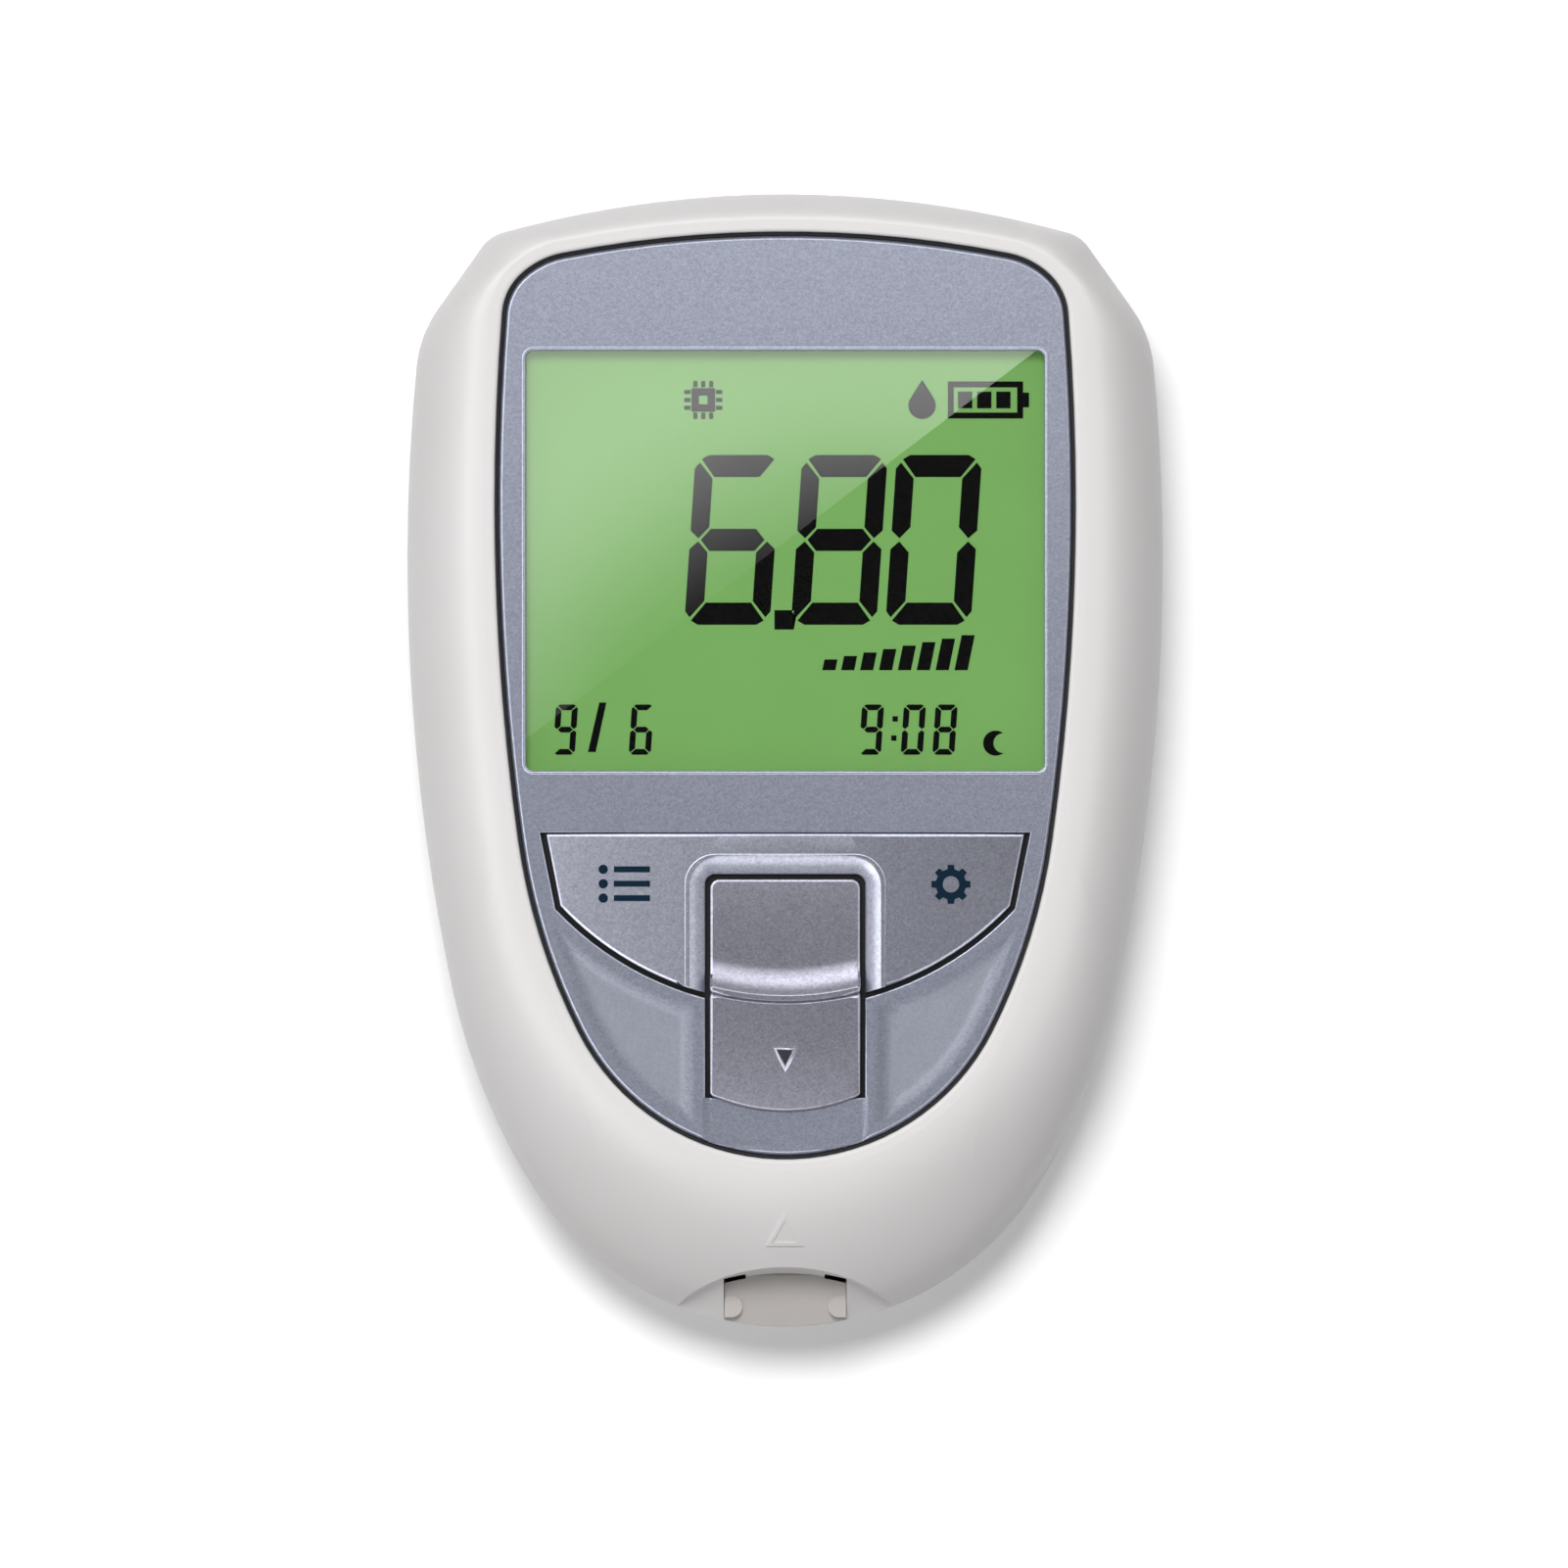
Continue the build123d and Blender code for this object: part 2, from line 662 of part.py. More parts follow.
def housing_screws():
    return group(*[
        screw(x, y, SCREW_RECESS + SCREW_HEAD_HEIGHT, SCREW_HEAD_RADIUS, SCREW_HEAD_HEIGHT,
              SCREW_RADIUS, SCREW_LENGTH)
        for x, y in HOUSING_SCREWS
    ])


def board_screws():
    return group(*[
        screw(x, y, BOARD_Z, BOARD_SCREW_HEAD_RADIUS, BOARD_SCREW_HEAD_HEIGHT,
              BOARD_SCREW_RADIUS, BOARD_SCREW_LENGTH)
        for x, y in BOARD_SCREWS
    ])


# %% Port cutters, shared by the top housing and the tray

def arch_cone():
    """The leaning arch that bounds the scoop in the nose."""
    height = RIM_Z + 1 - PARTING_HEIGHT
    top_radius = ARCH_BASE_RADIUS + ARCH_LEAN * height
    cone = Cone(ARCH_BASE_RADIUS, top_radius, height)
    return Pos(0, ARCH_CENTRE_Y, PARTING_HEIGHT + height / 2) * cone


def port_slits(low, high):
    """Two narrow slits along the arch, at the corners of the strip channel."""
    radius = ARCH_BASE_RADIUS + ARCH_LEAN * (STRIP_Z + STRIP_ROOM - PARTING_HEIGHT)
    ring = drum(0, ARCH_CENTRE_Y, radius + SLIT_WIDTH, low, high)
    ring -= drum(0, ARCH_CENTRE_Y, radius - SLIT_WIDTH, low, high)
    limit = block(SLIT_INNER_X, PORT_HALF_WIDTH, TIP_Y, SOLID_NOSE_Y, low, high)
    return both_sides(ring & limit)


# %% Top housing

def top_housing():
    outer = upper_form()
    shell = outer - upper_cavity()
    shell += face_skirt() & outer
    for x, y in HOUSING_SCREWS:
        shell += housing_boss(x, y) & outer
    for x, y in BOARD_SCREWS:
        shell += drum(x, y, BOARD_BOSS_RADIUS, BOARD_TOP_Z, RIM_Z) & outer
    shell -= prism(FACE, LEDGE_TOP_Z, RIM_Z + 1)
    shell -= rim_flare()
    shell -= prism(inset(FACE, LEDGE_WIDTH), LEDGE_Z - 1, LEDGE_TOP_Z + 1)
    for x, y in HOUSING_SCREWS:
        top = SCREW_RECESS + SCREW_HEAD_HEIGHT + SCREW_LENGTH + 1
        shell -= drum(x, y, SCREW_RADIUS + THREAD_CLEARANCE, PARTING_HEIGHT - 1, top)
    for x, y in BOARD_SCREWS:
        top = BOARD_Z + BOARD_SCREW_LENGTH + THREAD_CLEARANCE
        shell -= drum(x, y, BOARD_SCREW_RADIUS + THREAD_CLEARANCE, BOARD_TOP_Z - 1, top)
    raised_skin = Pos(0, 0, INSERT_MARK_RELIEF) * outer - Pos(0, 0, -ROOF / 2) * outer
    shell += insert_mark() & raised_skin
    return cut_port(shell)


def upper_cavity():
    """Hollow of the top housing, kept out of the nose around the port."""
    wall_outline = inset(BODY, WALL)
    roof_outline = inset(FACE, WALL - RIM_LAND)
    hollow = domed(wall_outline, roof_outline, PARTING_HEIGHT, RIM_Z - ROOF, NOSE_POWER)
    solid_nose = block(-BODY_HALF_WIDTH, BODY_HALF_WIDTH, TIP_Y, SOLID_NOSE_Y, 0, RIM_Z)
    return hollow - solid_nose


def face_skirt():
    return prism(inset(FACE, -SKIRT_THICKNESS), LEDGE_Z, RIM_Z - ROOF / 2)


def housing_boss(x, y):
    boss = drum(x, y, BOSS_RADIUS, PARTING_HEIGHT, LEDGE_TOP_Z)
    rib_z = PARTING_HEIGHT + LIP_HEIGHT + BOSS_RIB_ROOM
    if y > 0:
        boss += block(x - WALL / 2, x + WALL / 2, y, TOP_Y - WALL, rib_z, LEDGE_TOP_Z)
    return boss


def rim_flare():
    """Rounds the edge where the rim drops into the face opening, in short facets."""
    sections = []
    for angle in (0, 22.5, 45, 67.5, 90):
        out = RIM_FILLET * (1 - cos(radians(angle)))
        z = RIM_Z - RIM_FILLET * (1 - sin(radians(angle)))
        sections.append(Pos(0, 0, z) * flat(inset(FACE, -out)))
    return loft(sections, ruled=True)


def insert_mark():
    """Raised outline of an arrowhead that points to where a strip goes in."""
    base_y = TIP_Y + INSERT_MARK_RISE - INSERT_MARK_HEIGHT / 2
    tip = (0, base_y + INSERT_MARK_HEIGHT)
    half = INSERT_MARK_WIDTH / 2
    arrow = make_face(Polyline((-half, base_y), (half, base_y), tip, close=True))
    ring = arrow - offset(arrow, -INSERT_MARK_LINE, kind=Kind.INTERSECTION)
    return Pos(0, 0, PARTING_HEIGHT) * extrude(ring, RIM_Z - PARTING_HEIGHT)


def cut_port(shell):
    """The scoop in the nose, the channel for the tray, the strip mouth and its slits."""
    arch = arch_cone()
    shell -= arch - upper_form(SCOOP_POWER)
    half = PORT_HALF_WIDTH
    channel = block(-half, half, TIP_Y - 1, SOLID_NOSE_Y, PARTING_HEIGHT - 1, RIM_Z)
    mouth_top = STRIP_Z + STRIP_ROOM
    mouth = block(-half, half, TIP_Y - 1, SOLID_NOSE_Y + WALL, PARTING_HEIGHT - 1, mouth_top)
    shell -= channel & arch
    shell -= mouth
    return shell - port_slits(PARTING_HEIGHT, RIM_Z)


# %% Bottom housing

def bottom_housing():
    outer = lower_form()
    shell = outer - lower_cavity()
    shell += parting_lip()
    shell += bay_walls()
    for x, y in HOUSING_SCREWS:
        shell += drum(x, y, POST_RADIUS, 0, PARTING_HEIGHT) & outer
    shell += tray_support() & outer
    shell -= bay_space()
    shell -= door_opening()
    head_room = SCREW_HEAD_RADIUS + SCREW_RECESS_CLEARANCE
    for x, y in HOUSING_SCREWS:
        shell -= drum(x, y, head_room, -1, SCREW_RECESS + SCREW_HEAD_HEIGHT)
        shell -= drum(x, y, SCREW_RADIUS + SCREW_HOLE_CLEARANCE, 0, PARTING_HEIGHT + 1)
    return shell - label_space(LABEL_RECESS, DOOR_GAP)


def lower_cavity():
    return domed(
        inset(BODY, WALL), inset(BODY, BACK_INSET + WALL / 2), PARTING_HEIGHT, FLOOR_THICKNESS, 2
    )


def parting_lip():
    """Thin wall that stands up inside the top housing and lines the halves up."""
    outside = inset(cavity_outline(PARTING_HEIGHT + LIP_HEIGHT), LIP_CLEARANCE)
    low = PARTING_HEIGHT - LIP_HEIGHT
    lip = prism(outside, low, PARTING_HEIGHT + LIP_HEIGHT)
    lip -= prism(inset(outside, LIP_THICKNESS), low - 1, PARTING_HEIGHT + LIP_HEIGHT + 1)
    below = prism(inset(BODY, WALL / 2), low, PARTING_HEIGHT)
    below -= prism(inset(outside, LIP_THICKNESS), low - 1, PARTING_HEIGHT + 1)
    nose = block(
        -BODY_HALF_WIDTH, BODY_HALF_WIDTH, TIP_Y, SOLID_NOSE_Y + LIP_CLEARANCE,
        PARTING_HEIGHT, RIM_Z,
    )
    return below + (lip - nose)


def bay_walls():
    half = BAY_HALF_WIDTH + BAY_WALL
    return block(
        -half, half, BAY_LOW_Y - BAY_WALL, BAY_TOP_Y + BAY_WALL, 0, CEILING_Z + BAY_CEILING
    )


def bay_space():
    return block(-BAY_HALF_WIDTH, BAY_HALF_WIDTH, BAY_LOW_Y, BAY_TOP_Y, -1, CEILING_Z)


def door_opening():
    """Opening in the back, with room above the door's ends for the hooks and the latch."""
    half = BAY_HALF_WIDTH - DOOR_SIDE_OVERHANG
    low_y = HINGE_Y - HINGE_Z - DOOR_SWING_GAP
    high_y = DOOR_TOP_Y + DOOR_GAP
    swing_z = HINGE_Z + HINGE_Y - low_y + HOOK_REACH + HOOK_THICKNESS
    opening = block(-half, half, low_y, high_y, -1, FLOOR_THICKNESS)
    opening += block(-half, half, HINGE_Y, BAY_LOW_Y, -1, swing_z)
    opening += block(-half, half, BAY_TOP_Y, BAY_TOP_Y + BAY_WALL, -1, FLOOR_THICKNESS + 0.1)
    return opening


def tray_support():
    """Rib across the nose that the strip tray rests on."""
    half = PORT_HALF_WIDTH
    low_y = SOLID_NOSE_Y
    return block(-half, half, low_y, low_y + WALL, 0, PARTING_HEIGHT)


def label_space(depth, margin):
    half = LABEL_WIDTH / 2 + margin
    y = TIP_Y + LABEL_RISE
    half_y = LABEL_HEIGHT / 2 + margin
    return block(-half, half, y - half_y, y + half_y, -1, depth)


def rear_label():
    half = LABEL_WIDTH / 2
    y = TIP_Y + LABEL_RISE
    half_y = LABEL_HEIGHT / 2
    return block(-half, half, y - half_y, y + half_y, LABEL_RECESS - LABEL_THICKNESS, LABEL_RECESS)


# %% Faceplate, gasket and lens

def key_outline(side_gap, top_gap):
    """Plan of the key plate, grown by a gap at its sides and by another at its top."""
    top_y = KEY_TOP_Y + top_gap
    depth = KEY_ARC_RADIUS
    lean = depth * sin(radians(KEY_SIDE_LEAN))
    half = KEY_HALF_WIDTH + side_gap
    wedge = make_face(Polyline(
        (-half, top_y), (half, top_y), (half - lean, top_y - depth), (lean - half, top_y - depth),
        close=True,
    ))
    return wedge & (Pos(0, KEY_CENTRE_Y) * Circle(KEY_ARC_RADIUS + side_gap))


def slot_plan(half_width, top_y, corner):
    """A slot that is open towards the tip, with two round corners at its top."""
    low_y = FACE_TIP_Y
    plan = Pos(0, (top_y + low_y) / 2) * Rectangle(2 * half_width, top_y - low_y)
    return fillet(plan.vertices().group_by(Axis.Y)[-1], corner)


def pool_plan(margin):
    """One of the two shallow recesses beside the slider, on the right."""
    field_face = flat(inset(FACE, FACE_GAP + POOL_LIP + margin))
    field_face -= Pos(0, KEY_CENTRE_Y) * Circle(KEY_ARC_RADIUS + KEY_GAP + POOL_LIP + margin)
    limit_x = SLOT_HALF_WIDTH + POOL_LIP + margin
    right = Pos(limit_x + BODY_HALF_WIDTH, 0) * Rectangle(2 * BODY_HALF_WIDTH, 2 * BODY_LENGTH)
    low = Pos(0, KEY_TOP_Y - BODY_LENGTH) * Rectangle(2 * BODY_LENGTH, 2 * BODY_LENGTH)
    plan = field_face & right & low
    return plan.faces().sort_by(Axis.X)[-1]


SOFT_SHARES = (0, 0.15, 0.3, 0.5, 0.7, 0.85, 1)  # places across a soft slope


def soft_fall(share):
    """Fall of a soft slope, level at both of its edges, as a share of its depth."""
    return share**2 * (3 - 2 * share)


def pool():
    return loft(
        [
            Pos(0, 0, FACE_Z - POOL_DEPTH * soft_fall(share)) * pool_plan(POOL_SLOPE * share)
            for share in SOFT_SHARES
        ],
        ruled=True,
    )


def faceplate():
    plate = prism(inset(FACE, FACE_GAP), FACE_UNDER_Z, FACE_Z)
    plate = chamfer(plate.edges().group_by(Axis.Z)[-1], FACE_CHAMFER)
    plate += deck()
    plate += window_bead()
    plate -= window_space(LENS_CLEARANCE, FACE_UNDER_Z - 1, FACE_Z + 1)
    plate -= Pos(0, 0, DECK_TOP_Z) * extrude(key_outline(KEY_GAP, KEY_TOP_GAP), RIM_Z)
    plate -= slider_channel()
    plate -= both_sides(pool())
    plate -= hinge_saddle()
    for side in (-1, 1):
        hole = PLUNGER_RADIUS + PLUNGER_HOLE_CLEARANCE
        plate -= drum(side * PLUNGER_X, PLUNGER_Y, hole, DECK_Z - 1, DECK_TOP_Z + 1)
    slot = LEG_HALF_WIDTH + SLOT_CLEARANCE
    plate -= block(
        -slot, slot, LEG_LOW_Y - EJECT_TRAVEL - SLOT_CLEARANCE, LEG_TOP_Y + SLOT_CLEARANCE,
        DECK_Z - 1, DECK_TOP_Z + 1,
    )
    return plate + spring_stop()


def deck():
    """Floor under the keys and the slider, moulded on the back of the plate."""
    whole = prism(inset(FACE, LEDGE_WIDTH + DECK_CLEARANCE), DECK_Z, FACE_UNDER_Z)
    top_y = KEY_TOP_Y + DECK_ABOVE_KEYS
    return whole & block(-BODY_HALF_WIDTH, BODY_HALF_WIDTH, TIP_Y, top_y, 0, RIM_Z)


def window_plan(growth, corner):
    plan = RectangleRounded(WINDOW_WIDTH + 2 * growth, WINDOW_HEIGHT + 2 * growth, corner)
    return Pos(0, (WINDOW_TOP_Y + WINDOW_LOW_Y) / 2) * plan


def window_space(growth, low, high):
    return Pos(0, 0, low) * extrude(window_plan(growth, WINDOW_CORNER), high - low)


def window_bead():
    """Fine raised line around the window."""
    inside = BEAD_SETBACK
    outside = inside + BEAD_WIDTH
    plan = window_plan(outside, WINDOW_CORNER + outside) - window_plan(inside, WINDOW_CORNER)
    return Pos(0, 0, FACE_Z - BEAD_HEIGHT) * extrude(plan, 2 * BEAD_HEIGHT)


def slider_channel():
    """Deep part that the slider runs in and the shallow, sloping run-out below it."""
    deep_low_y = SLIDER_END_Y + LIP_LENGTH - EJECT_TRAVEL - SLIDER_FLOAT
    deep = extrude(slot_plan(SLOT_HALF_WIDTH, SLOT_TOP_Y, SLOT_CORNER), RIM_Z)
    deep &= block(-SLOT_HALF_WIDTH, SLOT_HALF_WIDTH, deep_low_y, SLOT_TOP_Y, 0, RIM_Z)
    end_y = SLIDER_END_Y - CHANNEL_LENGTH
    floor_z = FACE_Z - CHANNEL_DEPTH
    low = Pos(0, 0, floor_z) * channel_plan(0, deep_low_y, end_y)
    high = Pos(0, 0, FACE_Z + 0.01) * channel_plan(CHANNEL_SLOPE, deep_low_y, end_y)
    return Pos(0, 0, DECK_TOP_Z) * deep + loft([low, high], ruled=True)


def channel_plan(growth, top_y, end_y):
    half = SLIDER_HALF_WIDTH + growth
    low_y = end_y - growth
    return Pos(0, (top_y + low_y) / 2) * Rectangle(2 * half, top_y - low_y)


def hinge_saddle():
    """Groove in the deck that the key plate rocks in."""
    high_y = KEY_TOP_Y - KNUCKLE_SETBACK + RUNNING_CLEARANCE
    low_y = high_y - KNUCKLE_LENGTH - 2 * RUNNING_CLEARANCE
    return drum_along_y(0, DECK_TOP_Z, KNUCKLE_RADIUS + RUNNING_CLEARANCE, low_y, high_y)


def spring_stop():
    """Rib under the deck that the ejector's spring pushes against."""
    return block(
        SPRING_X - LUG_HALF_WIDTH, SPRING_X + LUG_HALF_WIDTH,
        SPRING_LOW_Y - LUG_THICKNESS, SPRING_LOW_Y,
        SPRING_Z - SPRING_RADIUS, DECK_Z + 0.1,
    )


def face_gasket():
    """Black seal that carries the faceplate and fills the gap around it."""
    clear = GASKET_CLEARANCE
    seat = prism(inset(FACE, clear), LEDGE_TOP_Z, FACE_UNDER_Z)
    seat -= prism(inset(FACE, LEDGE_WIDTH), LEDGE_TOP_Z - 1, FACE_UNDER_Z + 1)
    upstand = prism(inset(FACE, clear), FACE_UNDER_Z, FACE_UNDER_Z + GASKET_RISE)
    upstand -= prism(inset(FACE, FACE_GAP - clear), FACE_UNDER_Z - 1, FACE_Z)
    return seat + upstand


def window_lens():
    body = window_space(0, LENS_Z, FACE_Z - LENS_RECESS)
    flange = Pos(0, 0, LENS_Z) * extrude(window_plan(LENS_FLANGE_WIDTH, WINDOW_CORNER), LENS_FLANGE)
    room = prism(inset(FACE, LEDGE_WIDTH + DECK_CLEARANCE), LENS_Z, FACE_UNDER_Z)
    return body + (flange & room)


# %% Display stack

GLASS_HALF_WIDTH = WINDOW_WIDTH / 2 + GLASS_SIDE_MARGIN
GLASS_TOP_Y = WINDOW_TOP_Y + GLASS_TOP_MARGIN
REAR_GLASS_LOW_Y = WINDOW_LOW_Y + GLASS_SIDE_MARGIN
FRONT_GLASS_LOW_Y = REAR_GLASS_LOW_Y - GLASS_LEDGE


def lcd_cell():
    half = GLASS_HALF_WIDTH
    middle_z = GLASS_Z + GLASS_THICKNESS
    rear = block(-half, half, REAR_GLASS_LOW_Y, GLASS_TOP_Y, GLASS_Z, middle_z)
    front = block(-half, half, FRONT_GLASS_LOW_Y, GLASS_TOP_Y, middle_z, GLASS_TOP_Z)
    return rear + front


def lcd_backlight():
    half = GLASS_HALF_WIDTH
    return block(-half, half, REAR_GLASS_LOW_Y, GLASS_TOP_Y, BOARD_TOP_Z, GLASS_Z)


def lcd_connector():
    """Striped rubber that joins the glass ledge to the board."""
    half = GLASS_HALF_WIDTH - RUBBER_END
    middle_y = (FRONT_GLASS_LOW_Y + REAR_GLASS_LOW_Y) / 2
    top_z = GLASS_Z + GLASS_THICKNESS
    return block(
        -half, half, middle_y - RUBBER_WIDTH / 2, middle_y + RUBBER_WIDTH / 2, BOARD_TOP_Z, top_z
    )


def lcd_frame():
    fit = GLASS_FIT
    half = GLASS_HALF_WIDTH + fit
    low_y = FRONT_GLASS_LOW_Y - fit
    high_y = GLASS_TOP_Y + fit
    frame = block(
        -half - FRAME_WALL, half + FRAME_WALL, low_y - FRAME_WALL, high_y + FRAME_WALL,
        BOARD_TOP_Z, FRAME_TOP_Z,
    )
    frame -= block(-half, half, low_y, high_y, BOARD_TOP_Z - 1, GLASS_TOP_Z)
    view = Pos(0, 0, GLASS_Z) * extrude(window_plan(VIEW_MARGIN, WINDOW_CORNER), RIM_Z)
    return frame - view


# %% Circuit board and what sits on it

SIDE_PART_X = BAY_HALF_WIDTH + BAY_WALL + SIDE_PART_GAP
CHIP_Y = WINDOW_LOW_Y


def main_board():
    board = prism(inset(cavity_outline(BOARD_TOP_Z), BOARD_EDGE_CLEARANCE), BOARD_Z, BOARD_TOP_Z)
    nose_y = SOLID_NOSE_Y + BOARD_EDGE_CLEARANCE
    board -= block(-BODY_HALF_WIDTH, BODY_HALF_WIDTH, TIP_Y, nose_y, 0, RIM_Z)
    for x, y in HOUSING_SCREWS:
        board -= boss_notch(x, y)
    for x, y in BOARD_SCREWS:
        hole = BOARD_SCREW_RADIUS + SCREW_HOLE_CLEARANCE
        board -= drum(x, y, hole, BOARD_Z - 1, BOARD_TOP_Z + 1)
    slot = PUSHER_HALF_WIDTH + SLOT_CLEARANCE
    return board - block(
        -slot, slot, PUSHER_LOW_Y - EJECT_TRAVEL - SLOT_CLEARANCE, PUSHER_TOP_Y + SLOT_CLEARANCE,
        BOARD_Z - 1, BOARD_TOP_Z + 1,
    )


def boss_notch(x, y):
    """Clearance around a housing boss, open to the edge of the board."""
    radius = BOSS_RADIUS + NOTCH_CLEARANCE
    low, high = BOARD_Z - 1, BOARD_TOP_Z + 1
    notch = drum(x, y, radius, low, high)
    if y > 0:
        return notch + block(x - radius, x + radius, y, TOP_Y, low, high)
    out = BODY_HALF_WIDTH if x > 0 else -BODY_HALF_WIDTH
    return notch + block(min(x, out), max(x, out), y - radius, y + radius, low, high)


def processor_chips():
    mcu_x = -SIDE_PART_X - MCU_SIZE / 2
    analog_x = SIDE_PART_X + ANALOG_WIDTH / 2
    memory_y = HINGE_Y - MEMORY_LENGTH
    chips = [
        (mcu_x, CHIP_Y, MCU_SIZE, MCU_SIZE, MCU_HEIGHT),
        (analog_x, CHIP_Y - ANALOG_LENGTH, ANALOG_WIDTH, ANALOG_LENGTH, ANALOG_HEIGHT),
        (0, memory_y, MEMORY_WIDTH, MEMORY_LENGTH, MEMORY_HEIGHT),
    ]
    return group(*[
        block(x - width / 2, x + width / 2, y - length / 2, y + length / 2, BOARD_Z - height, BOARD_Z)
        for x, y, width, length, height in chips
    ])


def quartz_crystal():
    low_y = CHIP_Y + MCU_SIZE / 2 + SIDE_PART_GAP
    x = -SIDE_PART_X - CRYSTAL_RADIUS
    return drum_along_y(x, BOARD_Z - CRYSTAL_RADIUS, CRYSTAL_RADIUS, low_y, low_y + CRYSTAL_LENGTH)


def buzzer():
    x = SIDE_PART_X + BUZZER_RADIUS
    y = CHIP_Y + BUZZER_RADIUS + SIDE_PART_GAP
    low = BOARD_Z - BUZZER_HEIGHT
    return drum(x, y, BUZZER_RADIUS, low, BOARD_Z) - drum(x, y, BUZZER_HOLE, low, low + BUZZER_HOLE)


# %% Silicone key mat

def key_mat():
    mat = block(
        -MAT_HALF_WIDTH, MAT_HALF_WIDTH, PLUNGER_Y - MAT_HALF_LENGTH, PLUNGER_Y + MAT_HALF_LENGTH,
        BOARD_TOP_Z, BOARD_TOP_Z + MAT_THICKNESS,
    )
    top_z = FOOT_Z - DOME_SEAT
    for side in (-1, 1):
        x = side * PLUNGER_X
        mat += drum(x, PLUNGER_Y, DOME_RADIUS, BOARD_TOP_Z, top_z)
        mat -= drum(x, PLUNGER_Y, DOME_RADIUS - DOME_WALL, BOARD_TOP_Z - 1, top_z - DOME_WALL)
    return mat


def carbon_pills():
    top_z = FOOT_Z - DOME_SEAT - DOME_WALL
    return group(*[
        drum(side * PLUNGER_X, PLUNGER_Y, PILL_RADIUS, top_z - PILL_THICKNESS, top_z)
        for side in (-1, 1)
    ])


# %% Key plate

def key_plate():
    plan = key_outline(0, 0) - slot_plan(SLOT_HALF_WIDTH, SLOT_TOP_Y, SLOT_CORNER)
    crown = Pos(0, 0, KEY_CROWN_Z - KEY_CROWN_RADIUS) * Rot(90, 0, 0)
    plate = Pos(0, 0, KEY_UNDER_Z) * extrude(plan, RIM_Z - KEY_UNDER_Z + 1)
    rim_half = SLOT_HALF_WIDTH + RIM_BEVEL_WIDTH
    rim_top_y = SLOT_TOP_Y + RIM_BEVEL_WIDTH
    rim_plan = slot_plan(rim_half, rim_top_y, RIM_CORNER)
    field_part = plate & (crown * Cylinder(KEY_CROWN_RADIUS, 2 * BODY_LENGTH))
    rim_part = (plate & extrude(rim_plan, RIM_Z + 1)) & (
        crown * Cylinder(KEY_CROWN_RADIUS + RIM_STEP, 2 * BODY_LENGTH)
    )
    plate = field_part + rim_part - rim_roll()
    knuckle_top_y = KEY_TOP_Y - KNUCKLE_SETBACK
    knuckle_low_y = knuckle_top_y - KNUCKLE_LENGTH
    plate += drum_along_y(0, DECK_TOP_Z, KNUCKLE_RADIUS, knuckle_low_y, knuckle_top_y)
    plate += block(
        -KNUCKLE_RADIUS, KNUCKLE_RADIUS, knuckle_low_y, knuckle_top_y, DECK_TOP_Z, KEY_UNDER_Z + 0.1
    )
    for side in (-1, 1):
        x = side * PLUNGER_X
        plate += drum(x, PLUNGER_Y, PLUNGER_RADIUS, FOOT_Z, KEY_UNDER_Z + 0.1)
        plate += drum(x, PLUNGER_Y, FOOT_RADIUS, FOOT_Z, FOOT_TOP_Z)
    return plate


ROLL_SHARES = (0, 0.15, 0.3, 0.45, 0.6, 0.8, 1)  # places across the rim's rounded bevel


def rim_roll():
    """What the rim's bevel cuts away: steep at the slot and nearly level at its outer edge."""
    sections = []
    for share in ROLL_SHARES:
        out = share * (RIM_BEVEL_WIDTH - RIM_STEP)
        rise = sin(radians(RIM_ROLL * share)) / sin(radians(RIM_ROLL))
        plan = slot_plan(
            SLOT_HALF_WIDTH + out, SLOT_TOP_Y + out, SLOT_CORNER + share * (RIM_CORNER - SLOT_CORNER)
        )
        level = KEY_CROWN_Z - RIM_BEVEL_DEPTH + rise * (RIM_BEVEL_DEPTH + RIM_STEP)
        sections.append(Pos(0, 0, level) * plan)
    return loft(sections, ruled=True)


# %% Slider and ejector

def slider_profile():
    """Half section of the slider's top, as distance from the key arc's centre and height."""
    pad_z = FACE_Z - PAD_RECESS
    ridge_z = FACE_Z + RIDGE_RISE
    ridge_r = KEY_ARC_RADIUS - KEY_GAP / 2
    ramp_end_r = ridge_r - RIDGE_WIDTH
    ramp_start_r = ramp_end_r - RAMP_WIDTH
    lower_r = ridge_r + CREASE_WIDTH
    lower_z = ridge_z - LOWER_PAD_DROP
    end_r = KEY_CENTRE_Y - SLIDER_END_Y + 1
    under = DECK_TOP_Z + SLIDER_FLOAT
    start_r = KEY_CENTRE_Y - SLIDER_TOP_Y - SLIDER_CORNER
    ramp_rise = ridge_z - pad_z
    sag_r = (ramp_start_r + ramp_end_r) / 2 + RAMP_SAG * RAMP_WIDTH
    sag = (sag_r, pad_z + ramp_rise * (1 / 2 - RAMP_SAG))
    edges = [
        Line((start_r, under), (start_r, pad_z)),
        Line((start_r, pad_z), (ramp_start_r, pad_z)),
        ThreePointArc((ramp_start_r, pad_z), sag, (ramp_end_r, ridge_z)),
        Line((ramp_end_r, ridge_z), (ridge_r, ridge_z)),
        Line((ridge_r, ridge_z), (ridge_r + CREASE_WIDTH / 2, ridge_z - CREASE_DEPTH)),
        Line((ridge_r + CREASE_WIDTH / 2, ridge_z - CREASE_DEPTH), (lower_r, lower_z)),
        Line((lower_r, lower_z), (end_r, lower_z - LOWER_PAD_FALL)),
        Line((end_r, lower_z - LOWER_PAD_FALL), (end_r, under)),
        Line((end_r, under), (start_r, under)),
    ]
    return make_face(edges)


